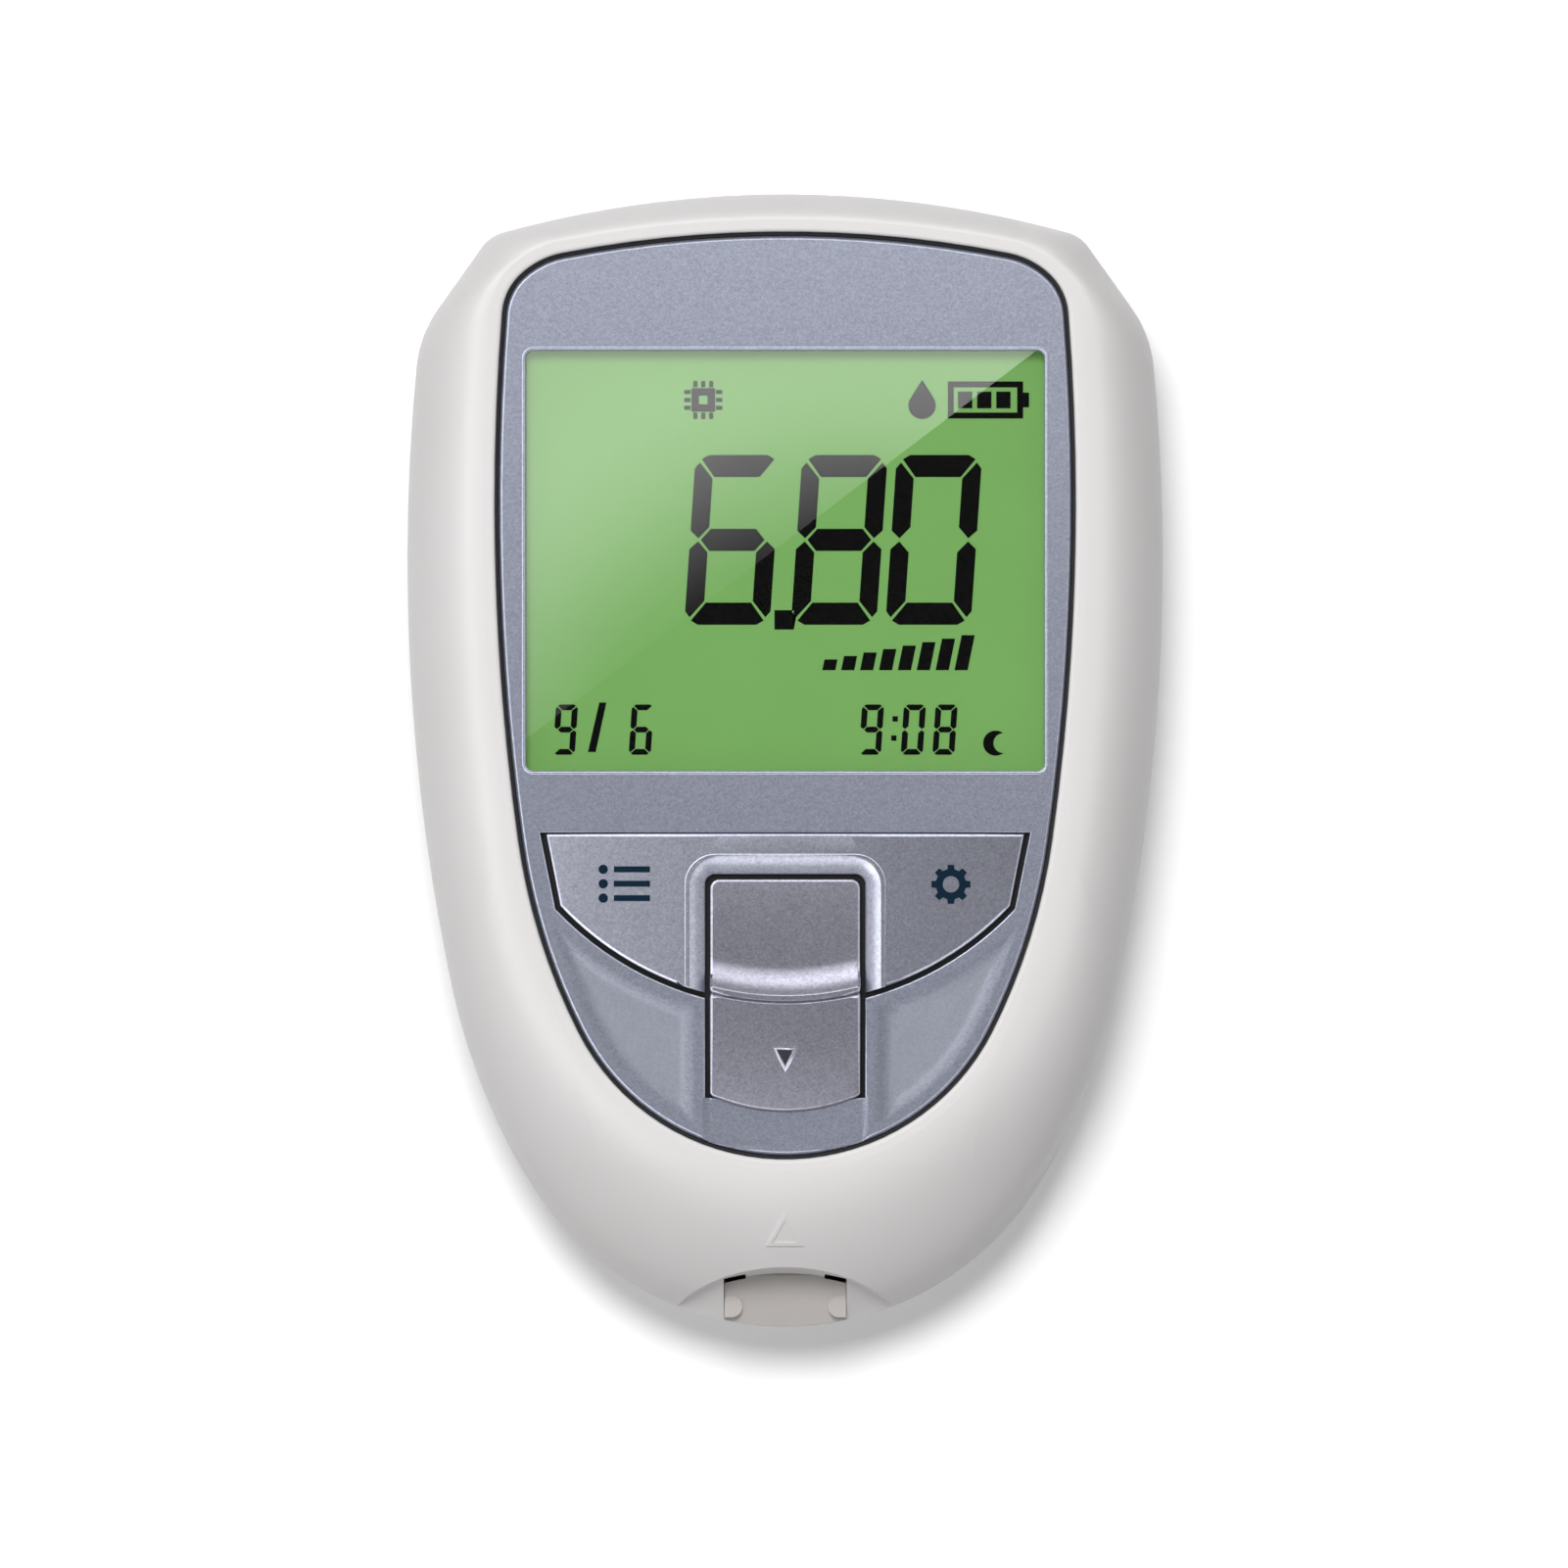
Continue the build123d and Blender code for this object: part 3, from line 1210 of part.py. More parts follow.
def slider_plan():
    end_centre_y = SLIDER_END_Y + SLIDER_END_RADIUS
    plan = slot_plan(SLIDER_HALF_WIDTH, SLIDER_TOP_Y, SLIDER_CORNER)
    return plan & (
        Pos(0, end_centre_y) * Circle(SLIDER_END_RADIUS)
        + Pos(0, end_centre_y) * Rectangle(2 * SLIDER_END_RADIUS, SLIDER_END_RADIUS)
    )


def eject_slider():
    top = revolve(Plane.XZ * slider_profile(), Axis.Z, 360)
    slider = (Pos(0, KEY_CENTRE_Y, 0) * top) & extrude(slider_plan(), 2 * RIM_Z)
    lip_y = SLIDER_END_Y + LIP_LENGTH
    lip_z = FACE_Z - CHANNEL_DEPTH + SLIDER_FLOAT
    slider -= block(-BODY_HALF_WIDTH, BODY_HALF_WIDTH, TIP_Y, lip_y, 0, lip_z)
    slider -= slide_mark()
    slider += block(
        -LEG_HALF_WIDTH, LEG_HALF_WIDTH, LEG_LOW_Y, LEG_TOP_Y,
        CARRIAGE_TOP_Z, DECK_TOP_Z + 2 * SLIDER_FLOAT,
    )
    x, y = 0, (LEG_LOW_Y + LEG_TOP_Y) / 2
    bore_top = DECK_TOP_Z + SLIDER_FLOAT + SLIDER_SCREW_BITE + THREAD_CLEARANCE
    return slider - drum(x, y, SLIDER_SCREW_RADIUS + THREAD_CLEARANCE, CARRIAGE_Z, bore_top)


def slide_mark():
    """Engraved arrowhead that points to the tip."""
    y = SLIDER_END_Y + MARK_RISE
    half = MARK_WIDTH / 2
    high_y = y + MARK_HEIGHT / 2
    arrow = make_face(Polyline((-half, high_y), (half, high_y), (0, y - MARK_HEIGHT / 2), close=True))
    span = KEY_CENTRE_Y - y - KEY_ARC_RADIUS
    fall = LOWER_PAD_FALL * span / (KEY_CENTRE_Y - SLIDER_END_Y + 1 - KEY_ARC_RADIUS)
    surface_z = FACE_Z + RIDGE_RISE - LOWER_PAD_DROP - fall
    pit = extrude(arrow, -MARK_DEPTH, taper=MARK_TAPER)
    return Pos(0, 0, surface_z) * (pit + extrude(arrow, MARK_DEPTH))


def eject_carriage():
    """Runner under the deck, with the pusher that reaches down to the strip."""
    carriage = block(
        -CARRIAGE_HALF_WIDTH, CARRIAGE_HALF_WIDTH, PUSHER_LOW_Y, CARRIAGE_TOP_Y,
        CARRIAGE_Z, CARRIAGE_TOP_Z,
    )
    carriage += block(
        0, SPRING_X + LUG_HALF_WIDTH, LUG_LOW_Y, LUG_LOW_Y + LUG_THICKNESS,
        SPRING_Z - SPRING_RADIUS, CARRIAGE_TOP_Z,
    )
    foot_z = STRIP_Z + RUNNING_CLEARANCE
    carriage += block(
        -PUSHER_HALF_WIDTH, PUSHER_HALF_WIDTH, PUSHER_LOW_Y, PUSHER_TOP_Y, foot_z, CARRIAGE_TOP_Z
    )
    carriage += block(
        -PUSHER_FOOT_HALF_WIDTH, PUSHER_FOOT_HALF_WIDTH, PUSHER_LOW_Y, PUSHER_TOP_Y,
        foot_z, foot_z + PUSHER_FOOT_HEIGHT,
    )
    y = (LEG_LOW_Y + LEG_TOP_Y) / 2
    hole = SLIDER_SCREW_RADIUS + THREAD_CLEARANCE
    return carriage - drum(0, y, hole, CARRIAGE_Z - 1, CARRIAGE_TOP_Z + 1)


def slider_screw():
    y = (LEG_LOW_Y + LEG_TOP_Y) / 2
    length = DECK_TOP_Z + SLIDER_FLOAT + SLIDER_SCREW_BITE - CARRIAGE_Z
    body = drum(0, y, SLIDER_SCREW_RADIUS, CARRIAGE_Z, CARRIAGE_Z + length)
    low = CARRIAGE_Z - SLIDER_SCREW_HEAD_HEIGHT
    body += drum(0, y, SLIDER_SCREW_HEAD_RADIUS, low, CARRIAGE_Z)
    half = SLIDER_SCREW_HEAD_RADIUS / 2
    slot = DRIVE_WIDTH / 3
    return body - block(-half, half, y - slot, y + slot, low, low + SLIDER_SCREW_HEAD_HEIGHT / 2)


def eject_spring():
    return coil_along_y(
        SPRING_X, SPRING_Z, SPRING_RADIUS, SPRING_WIRE,
        SPRING_LOW_Y + SPRING_SEAT, LUG_LOW_Y - SPRING_SEAT, SPRING_TURNS,
    )


# %% Strip tray and its connector

CONNECTOR_LOW_Y = TIP_Y + CONNECTOR_RISE
CONNECTOR_TOP_Y = CONNECTOR_LOW_Y + CONNECTOR_LENGTH


def strip_tray():
    """Tongue that the strip slides in on. It slopes down to the tip of the meter."""
    half = PORT_HALF_WIDTH - TRAY_CLEARANCE
    end_y = CONNECTOR_LOW_Y - TRAY_CLEARANCE
    low = PARTING_HEIGHT + TRAY_CLEARANCE
    tray = prism(inset(BODY, TRAY_CLEARANCE), low, STRIP_Z)
    tray &= block(-half, half, TIP_Y - 1, end_y, low, STRIP_Z)
    mouth_y = TIP_Y + ARCH_APEX_RISE - ARCH_LEAN * (ARCH_APEX_HEIGHT - STRIP_Z)
    wedge = make_face(Plane.YZ * Polyline(
        (mouth_y, STRIP_Z), (TIP_Y, STRIP_Z - TRAY_TIP_DROP), (TIP_Y, STRIP_Z + 1),
        (mouth_y, STRIP_Z + 1), close=True,
    ))
    tray -= extrude(wedge, PORT_HALF_WIDTH, both=True)
    nub_top = STRIP_Z - NUB_DROP
    nub_x, nub_y = half - NUB_REACH + NUB_RADIUS, TIP_Y + NUB_RISE
    nub = drum(nub_x, nub_y, NUB_RADIUS, low, nub_top)
    nub += block(nub_x, half, nub_y - NUB_RADIUS, nub_y + NUB_RADIUS, low, nub_top)
    tray += both_sides(nub & block(0, half, TIP_Y, end_y, low, nub_top))
    return tray - port_slits(low - 1, STRIP_Z + 1)


def strip_connector():
    half = CONNECTOR_HALF_WIDTH
    housing = block(-half, half, CONNECTOR_LOW_Y, CONNECTOR_TOP_Y, TRAY_Z, BOARD_Z)
    half_slot = PORT_HALF_WIDTH - TRAY_CLEARANCE
    housing -= block(
        -half_slot, half_slot, CONNECTOR_LOW_Y - 1, CONNECTOR_TOP_Y + 1, STRIP_Z, STRIP_Z + STRIP_ROOM
    )
    for x in contact_places():
        pocket = CONTACT_WIDTH / 2 + CONTACT_POCKET
        housing -= block(
            x - pocket, x + pocket, CONNECTOR_LOW_Y + CONTACT_WIDTH, CONNECTOR_TOP_Y - CONTACT_WIDTH,
            STRIP_Z + STRIP_ROOM / 2, BOARD_Z,
        )
    return housing


def contact_places():
    first = -CONTACT_PITCH * (CONTACT_COUNT - 1) / 2
    return [first + CONTACT_PITCH * i for i in range(CONTACT_COUNT)]


def strip_contacts():
    """Sprung leaves that press on the strip from above and are soldered to the board."""
    start_y = CONNECTOR_TOP_Y - CONTACT_WIDTH - CONTACT_POCKET
    end_y = CONNECTOR_LOW_Y + CONTACT_WIDTH + CONTACT_POCKET
    low_z = STRIP_Z + STRIP_ROOM / 2
    path = Polyline(
        (start_y, BOARD_Z), (start_y, BOARD_Z - 2 * CONTACT_THICKNESS),
        ((start_y + 2 * end_y) / 3, low_z + CONTACT_THICKNESS), (end_y, low_z + 3 * CONTACT_THICKNESS),
    )
    leaf = Plane.YZ * make_face(offset(path, CONTACT_THICKNESS / 2, side=Side.BOTH).edges())
    trim = block(
        -BODY_HALF_WIDTH, BODY_HALF_WIDTH, end_y, start_y + CONTACT_THICKNESS / 2, STRIP_Z, BOARD_Z
    )
    solid = extrude(leaf, CONTACT_WIDTH / 2, both=True) & trim
    return group(*[Pos(x, 0, 0) * solid for x in contact_places()])


# %% Battery bay contents

def battery_cells():
    cells = []
    for side in (-1, 1):
        cell = Cylinder(CELL_DIAMETER / 2, CELL_LENGTH - CELL_CAP_HEIGHT)
        cell = Pos(0, 0, -CELL_CAP_HEIGHT / 2) * cell
        cell += Pos(0, 0, (CELL_LENGTH - CELL_CAP_HEIGHT) / 2) * Cylinder(CELL_CAP_RADIUS, CELL_CAP_HEIGHT)
        middle_y = (
            CELL_SPACE_TOP_Y - CELL_LENGTH / 2 if side < 0 else CELL_SPACE_LOW_Y + CELL_LENGTH / 2
        )
        turn = Rot(-90, 0, 0) if side < 0 else Rot(90, 0, 0)
        cells.append(Pos(side * CELL_PITCH / 2, middle_y, CELL_Z) * turn * cell)
    return group(*cells)


def battery_springs():
    springs = []
    for side in (-1, 1):
        low_y = CELL_SPACE_LOW_Y if side < 0 else CELL_SPACE_TOP_Y - CELL_SPRING_LENGTH
        springs.append(coil_along_y(
            side * CELL_PITCH / 2, CELL_Z, CELL_SPRING_RADIUS, CELL_SPRING_WIRE,
            low_y + CONTACT_SEAT, low_y + CELL_SPRING_LENGTH - CONTACT_SEAT, CELL_SPRING_TURNS,
        ))
    return group(*springs)


def battery_plates():
    """Link plate across both cells at the lower end, and a plate for each at the upper end."""
    low_z = CELL_Z - PLATE_HALF_WIDTH
    high_z = CEILING_Z - CONTACT_SEAT
    link_half = CELL_PITCH / 2 + PLATE_HALF_WIDTH
    link = block(-link_half, link_half, PLATE_LOW_Y, CELL_SPACE_LOW_Y, low_z, high_z)
    ends = [
        block(x - PLATE_HALF_WIDTH, x + PLATE_HALF_WIDTH, CELL_SPACE_TOP_Y, PLATE_TOP_Y, low_z, high_z)
        for x in (-CELL_PITCH / 2, CELL_PITCH / 2)
    ]
    return group(link, *ends)


def battery_door():
    half = DOOR_HALF_WIDTH
    top_y = DOOR_TOP_Y
    door = block(-half, half, HINGE_Y, top_y, 0, FLOOR_THICKNESS)
    door += Pos(0, HINGE_Y, HINGE_Z) * Rot(0, 90, 0) * Cylinder(HINGE_Z, 2 * half)
    floor_edge_y = HINGE_Y - HINGE_Z - DOOR_SWING_GAP
    hook_low_z = FLOOR_THICKNESS + HOOK_LIFT
    hook_high_z = hook_low_z + HOOK_THICKNESS
    for side in (-1, 1):
        x0 = side * HOOK_X - HOOK_WIDTH / 2
        door += block(
            x0, x0 + HOOK_WIDTH, HINGE_Y - HINGE_Z + HOOK_SETBACK, HINGE_Y + HOOK_THICKNESS,
            FLOOR_THICKNESS - HOOK_ROOT, hook_high_z,
        )
        door += block(
            x0, x0 + HOOK_WIDTH, floor_edge_y - HOOK_REACH, HINGE_Y, hook_low_z, hook_high_z
        )
    for i in range(GRIP_COUNT):
        y = top_y - GRIP_PITCH * (i + 2)
        door -= block(-GRIP_LENGTH / 2, GRIP_LENGTH / 2, y - GRIP_WIDTH / 2, y + GRIP_WIDTH / 2,
                      -1, GRIP_DEPTH)
    return door


def door_latch():
    """Bent tongue on the door's free end, with a catch that snaps over the floor's edge."""
    half = LATCH_WIDTH / 2
    outer_y = DOOR_TOP_Y - LATCH_SETBACK
    inner_y = outer_y - LATCH_THICKNESS
    top_z = FLOOR_THICKNESS + LATCH_HEIGHT
    latch = block(-half, half, inner_y, outer_y, FLOOR_THICKNESS, top_z)
    catch_y = DOOR_TOP_Y + DOOR_GAP + LATCH_CATCH
    catch_z = FLOOR_THICKNESS + LATCH_CATCH_LIFT
    return latch + block(-half, half, inner_y, catch_y, catch_z, catch_z + LATCH_THICKNESS)


# %% Every piece in its own file

PIECES = [
    top_housing, bottom_housing, rear_label, face_gasket, faceplate, window_lens,
    lcd_cell, lcd_backlight, lcd_connector, lcd_frame, main_board, processor_chips,
    quartz_crystal, buzzer, key_mat, carbon_pills, key_plate, eject_slider, eject_carriage,
    slider_screw, eject_spring, strip_tray, strip_connector, strip_contacts, battery_cells,
    battery_springs, battery_plates, battery_door, door_latch, housing_screws, board_screws,
]
for piece in PIECES:
    export_step(piece(), f"parts/{piece.__name__}.step")
print(f"{len(PIECES)} pieces, {2 * BODY_HALF_WIDTH:.1f} x {BODY_LENGTH:.1f} x {FACE_Z + RIDGE_RISE:.1f} mm")
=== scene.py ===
# %% [markdown]
# # Dressing a handheld meter
# The solids of the meter come from a CAD model that is already packed, with every piece on
# the body it moves with. This lesson gives each piece its finish, adds the fine pieces that a
# solid model leaves out, and sets the light and the camera. The meter lies on its back, so
# its display looks up along +Z and its top end points along +Y. All lengths are metres.

# %% Load the frame
import json
from math import cos, pi, radians, sin, sqrt, tau

import bmesh
import bpy
from mathutils import Matrix, Vector


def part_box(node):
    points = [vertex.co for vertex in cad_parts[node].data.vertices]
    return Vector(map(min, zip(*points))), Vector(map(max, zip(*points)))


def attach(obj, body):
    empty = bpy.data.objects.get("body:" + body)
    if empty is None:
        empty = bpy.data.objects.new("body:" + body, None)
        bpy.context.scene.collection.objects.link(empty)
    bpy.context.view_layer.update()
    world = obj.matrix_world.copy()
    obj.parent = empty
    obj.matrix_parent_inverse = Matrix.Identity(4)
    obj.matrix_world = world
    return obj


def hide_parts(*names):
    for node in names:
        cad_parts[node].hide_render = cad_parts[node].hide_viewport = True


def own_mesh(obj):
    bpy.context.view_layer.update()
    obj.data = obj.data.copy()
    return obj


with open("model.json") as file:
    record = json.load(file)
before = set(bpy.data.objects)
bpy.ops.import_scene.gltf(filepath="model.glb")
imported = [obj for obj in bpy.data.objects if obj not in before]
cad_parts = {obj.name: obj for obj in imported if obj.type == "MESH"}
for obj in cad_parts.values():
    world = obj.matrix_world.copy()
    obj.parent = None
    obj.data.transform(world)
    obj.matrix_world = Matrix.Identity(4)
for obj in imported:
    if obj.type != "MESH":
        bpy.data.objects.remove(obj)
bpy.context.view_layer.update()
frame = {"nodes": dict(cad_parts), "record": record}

MM = 0.001
nodes = frame["nodes"]

# %% [markdown]
# ## A short way to write node trees
# Node trees can be wired by hand, one link at a time, but long sums are hard to read that way.
# One small class wraps an output socket and gives it Python's operators, so that a sum on the
# page adds its Math nodes. A second class owns a tree and makes any other node in one call.

# %% Values that know their tree
class Value:
    """An output socket that can be used in Python sums."""

    def __init__(self, graph, socket):
        self.graph = graph
        self.socket = socket

    def join(self, operation, first, second):
        return self.graph.node("ShaderNodeMath", {"operation": operation}, {0: first, 1: second})

    def __add__(self, other):
        return self.join("ADD", self, other)

    def __radd__(self, other):
        return self.join("ADD", other, self)

    def __sub__(self, other):
        return self.join("SUBTRACT", self, other)

    def __rsub__(self, other):
        return self.join("SUBTRACT", other, self)

    def __mul__(self, other):
        return self.join("MULTIPLY", self, other)

    def __rmul__(self, other):
        return self.join("MULTIPLY", other, self)

    def __truediv__(self, other):
        return self.join("DIVIDE", self, other)

    def __rtruediv__(self, other):
        return self.join("DIVIDE", other, self)

    def __pow__(self, other):
        return self.join("POWER", self, other)

    def at_least(self, other):
        return self.join("MAXIMUM", self, other)

    def at_most(self, other):
        return self.join("MINIMUM", self, other)

    def __lt__(self, other):
        return self.join("LESS_THAN", self, other)

    def __gt__(self, other):
        return self.join("GREATER_THAN", self, other)


# %% A tree that makes its own nodes
class Graph:
    """A node tree. Settings go in before values, because they can change the sockets."""

    def __init__(self, tree):
        self.tree = tree

    def put(self, socket, value):
        if isinstance(value, Value):
            self.tree.links.new(value.socket, socket)
        else:
            socket.default_value = value

    def node(self, kind, settings=(), values=(), out=0):
        made = self.tree.nodes.new(kind)
        for name, setting in dict(settings).items():
            setattr(made, name, setting)
        for key, value in dict(values).items():
            self.put(made.inputs[key], value)
        return Value(self, made.outputs[out])

    def parts(self, vector):
        """The X, Y and Z of a vector."""
        return [self.node("ShaderNodeSeparateXYZ", (), {0: vector}, out=axis) for axis in "XYZ"]

    def map_range(self, value, low, high, to_low=0.0, to_high=1.0, smooth=True):
        kind = "SMOOTHSTEP" if smooth else "LINEAR"
        return self.node(
            "ShaderNodeMapRange", {"interpolation_type": kind},
            {"Value": value, "From Min": low, "From Max": high, "To Min": to_low, "To Max": to_high},
        )


# %% [markdown]
# ## Finishes
# A finish is a material round one Principled shader, which the exported model can carry. Every
# pattern reads Object coordinates, so its size is a true length and is the same on large and
# small pieces. What is the same all over a surface is set on the shader's own sockets.

# %% A finish is a material with a few ready patterns
class Finish(Graph):
    """A material around one Principled shader."""

    def __init__(self, name, **constants):
        self.material = bpy.data.materials.new(name)
        self.material.use_nodes = True
        super().__init__(self.material.node_tree)
        self.shader = self.tree.nodes["Principled BSDF"]
        for socket, value in constants.items():
            self.feed(socket.replace("_", " "), value)

    def feed(self, socket, value):
        self.put(self.shader.inputs[socket], value)

    def place(self):
        return self.node("ShaderNodeTexCoord", out="Object")

    def axis(self, name):
        return self.node("ShaderNodeSeparateXYZ", (), {0: self.place()}, out=name)

    def noise(self, size, detail=2.0):
        """Soft noise whose lumps are about this size across."""
        return self.node(
            "ShaderNodeTexNoise", (), {"Vector": self.place(), "Scale": 1 / size, "Detail": detail}
        )

    def flakes(self, size):
        """One random value for each small cell."""
        cells = self.node(
            "ShaderNodeTexVoronoi", (), {"Vector": self.place(), "Scale": 1 / size}, out="Color"
        )
        return self.node("ShaderNodeSeparateColor", (), {0: cells})

    def blend(self, share, low, high):
        """A colour between two others."""
        return self.node("ShaderNodeMix", {"data_type": "RGBA"}, {0: share, 6: low, 7: high}, out=2)

    def relief(self, height, depth, strength=1.0):
        bump = self.node(
            "ShaderNodeBump", (), {"Height": height, "Distance": depth, "Strength": strength}
        )
        self.feed("Normal", bump)


def colour(red, green, blue):
    """A screen colour, 0 to 255 for each part, as the linear colour that a shader takes."""
    linear = []
    for part in (red, green, blue):
        share = part / 255
        linear.append(share / 12.92 if share <= 0.04045 else ((share + 0.055) / 1.055) ** 2.4)
    return (*linear, 1.0)


finishes = {}
print("node tools ready")

# %% [markdown]
# ## The white shell
# The shell is moulded in a warm white plastic. Its tool was spark eroded, which leaves a skin
# of tiny pits that breaks up reflections. A uniform colour with low roughness would look like
# glazed china. So the colour drifts by a hair over centimetres, and a fine bump does the rest.

# %% Shell finish
def shell_finish():
    finish = Finish("shell_white", Specular_IOR_Level=0.45)
    drift = finish.noise(18 * MM, 2.0)
    finish.feed("Base Color", finish.blend(drift, colour(226, 223, 222), colour(232, 230, 230)))
    pits = finish.noise(0.09 * MM, 1.0)
    finish.feed("Roughness", 0.34 + 0.08 * finish.noise(1.2 * MM))
    finish.relief(pits, 0.004 * MM, 0.5)
    return finish


finishes["shell"] = shell_finish()
print("shell:", len(finishes["shell"].tree.nodes), "nodes")

# %% [markdown]
# ## The metallic lacquers
# Faceplate, keys and slider carry lacquers with metal flakes in them. Each flake lies at its
# own small angle, so it is lighter or darker than the next. Two cell patterns and a soft noise
# give that grain to the colour. Roughness and bump only get soft noise, because a sudden step
# in either shows as a dark speck on metal. Below a level the colour turns near-black, which
# is painted shade down in the gaps.
#
# A real plate is never quite flat. The bump carries such a bend too, which is far too slight to
# model: a parabola along one axis, crowned where its radius is positive and dished where not.

# %% What the lacquers need
FLAKE = 0.11 * MM
# Near-black: painted shade in the gaps below the lacquer's level.
GAP_PAINTED_SHADE = colour(20, 20, 22)
# The pools beside the slider are lightened towards a pale colour: a painted sheen that stands for the
# light their shallow dishes catch.
POOL_PAINTED_SHEEN = colour(206, 213, 224)
PAINTED_SHEEN_SHARE = 0.28  # how far the paint in the pools goes towards their sheen


def in_pools(finish, level):
    """1 in the two shallow pools beside the slider and 0 elsewhere, with soft borders."""
    aside = finish.node("ShaderNodeMath", {"operation": "ABSOLUTE"}, {0: finish.axis("X")})
    beside_slider = finish.map_range(aside, 7 * MM, 9 * MM)
    below_keys = finish.map_range(finish.axis("Y"), -12 * MM, -16 * MM)
    deep = finish.map_range(finish.axis("Z"), level + 0.08 * MM, level)
    return beside_slider * below_keys * deep


def bend(finish, axis, middle, radius):
    """The height of a very flat parabola, which stands for a bend with this radius."""
    away = finish.axis(axis) - middle
    return away * away * (-0.5 / radius)


print("flakes", round(FLAKE / MM, 2), "mm across")

# %% Lacquer finishes
def lacquer(name, dark, light, metal, paint_level, face_bend, pool_level=None):
    finish = Finish(name, Specular_IOR_Level=0.5)
    grain = 0.4 * finish.flakes(FLAKE) + 0.3 * finish.flakes(1.7 * FLAKE) + 0.3 * finish.noise(3 * FLAKE)
    paint = finish.blend(grain, dark, light)
    if pool_level:
        # Painted sheen: the paint in the pools is lightened towards a pale colour.
        paint = finish.blend(PAINTED_SHEEN_SHARE * in_pools(finish, pool_level), paint, POOL_PAINTED_SHEEN)
    # Below the paint level the colour is the near-black painted shade of the gaps, and not metallic.
    painted = finish.map_range(finish.axis("Z"), paint_level - 0.1 * MM, paint_level + 0.1 * MM)
    finish.feed("Base Color", finish.blend(painted, GAP_PAINTED_SHADE, paint))
    finish.feed("Metallic", metal * painted)
    finish.feed("Roughness", 0.29 + 0.03 * finish.noise(2 * MM))
    ripple = 0.0015 * MM * finish.noise(1.3 * FLAKE, 1.0)
    finish.relief(ripple + bend(finish, *face_bend), 1.0)
    return finish


window_low, window_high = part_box("window_lens")
PAINT_LEVEL = window_high.z - 0.4 * MM
FACE_BEND = ("Y", window_low.y - 2 * MM, 0.6)
KEY_BEND = ("X", 0.0, 0.5)
SLIDER_BEND = ("Y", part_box("eject_slider")[0].y + 9 * MM, -0.09)
finishes["face_paint"] = lacquer(
    "face_lacquer", colour(127, 131, 146), colour(167, 171, 187), 0.65, PAINT_LEVEL, FACE_BEND,
    pool_level=window_high.z + 0.19 * MM,
)
finishes["key_paint"] = lacquer(
    "key_lacquer", colour(130, 132, 144), colour(173, 175, 189), 0.85, PAINT_LEVEL, KEY_BEND
)
finishes["slider_paint"] = lacquer(
    "slider_lacquer", colour(119, 119, 130), colour(164, 164, 177), 0.85, PAINT_LEVEL - 0.4 * MM,
    SLIDER_BEND,
)
print("lacquers: 3")

# %% [markdown]
# ## Rubber, silicone and carbon
# The black seal line round the faceplate, the key mat and its carbon pills are all rubbers.
# They differ in colour and in how matt they are, so one function makes all of them.

# %% Rubber finishes
def rubber(name, dark, light, rough):
    finish = Finish(name, Specular_IOR_Level=0.35)
    dust = finish.noise(0.6 * MM, 3.0)
    finish.feed("Base Color", finish.blend(dust, dark, light))
    finish.feed("Roughness", rough + 0.12 * dust)
    finish.relief(finish.noise(0.12 * MM), 0.006 * MM, 0.5)
    return finish


finishes["gasket"] = rubber("seal_rubber", colour(22, 22, 24), colour(34, 34, 36), 0.55)
finishes["silicone"] = rubber("mat_silicone", colour(186, 188, 192), colour(198, 200, 204), 0.45)
finishes["carbon"] = rubber("pill_carbon", colour(18, 18, 18), colour(30, 30, 30), 0.7)
print("rubbers: 3")

# %% [markdown]
# ## The display
# The cell is a sandwich of glass on a clear light guide. It glows a little, as painted light that
# brightens its green. Its green is even. The window above it is thin, clear and polished. True glass
# would
# keep the lamps off the cell, because light that bends through glass isn't traced to a lamp.
# A mirror that is almost all see-through, and less so at a glancing angle, looks the same and
# lets light and shadow fall on the cell.

# %% Display finishes
def cell_finish():
    # The emission is painted light that brightens the green cell.
    finish = Finish("display_green", Specular_IOR_Level=0.05, Emission_Strength=0.27)
    green = finish.blend(finish.noise(9 * MM), colour(112, 160, 90), colour(116, 165, 93))
    finish.feed("Base Color", green)
    finish.feed("Emission Color", green)
    finish.feed("Roughness", 0.55 + 0.05 * finish.noise(0.3 * MM))
    return finish


MIRRORED_STRAIGHT = 0.039  # share that polished acrylic mirrors, seen square on
MIRRORED_ALONG = 0.6  # what is added to it at a glancing angle


def window_finish():
    """Mirrors little seen straight and much along its face, by the usual fifth-power rule."""
    finish = Finish("window_clear", Base_Color=(1.0, 1.0, 1.0, 1.0), Metallic=1.0, Roughness=0.0)
    glancing = finish.node("ShaderNodeLayerWeight", (), {"Blend": 0.5}, out="Facing")
    finish.feed("Alpha", MIRRORED_STRAIGHT + MIRRORED_ALONG * glancing**5)
    return finish


def guide_finish():
    finish = Finish("light_guide", Specular_IOR_Level=0.5)
    tint = finish.blend(finish.noise(4 * MM), colour(206, 228, 190), colour(216, 236, 202))
    finish.feed("Base Color", tint)
    finish.feed("Roughness", 0.2 + 0.1 * finish.noise(1 * MM))
    return finish


def striped_rubber(layer_pair=0.2 * MM):
    """Conducting and plain layers take turns across the strip."""
    finish = Finish("striped_rubber", Roughness=0.6)
    layer = finish.node(
        "ShaderNodeTexWave", {"bands_direction": "X"},
        {"Vector": finish.place(), "Scale": 1 / layer_pair / tau, "Distortion": 0.0},
    )
    finish.feed("Base Color", finish.blend(layer > 0.5, colour(30, 30, 32), colour(196, 190, 178)))
    return finish


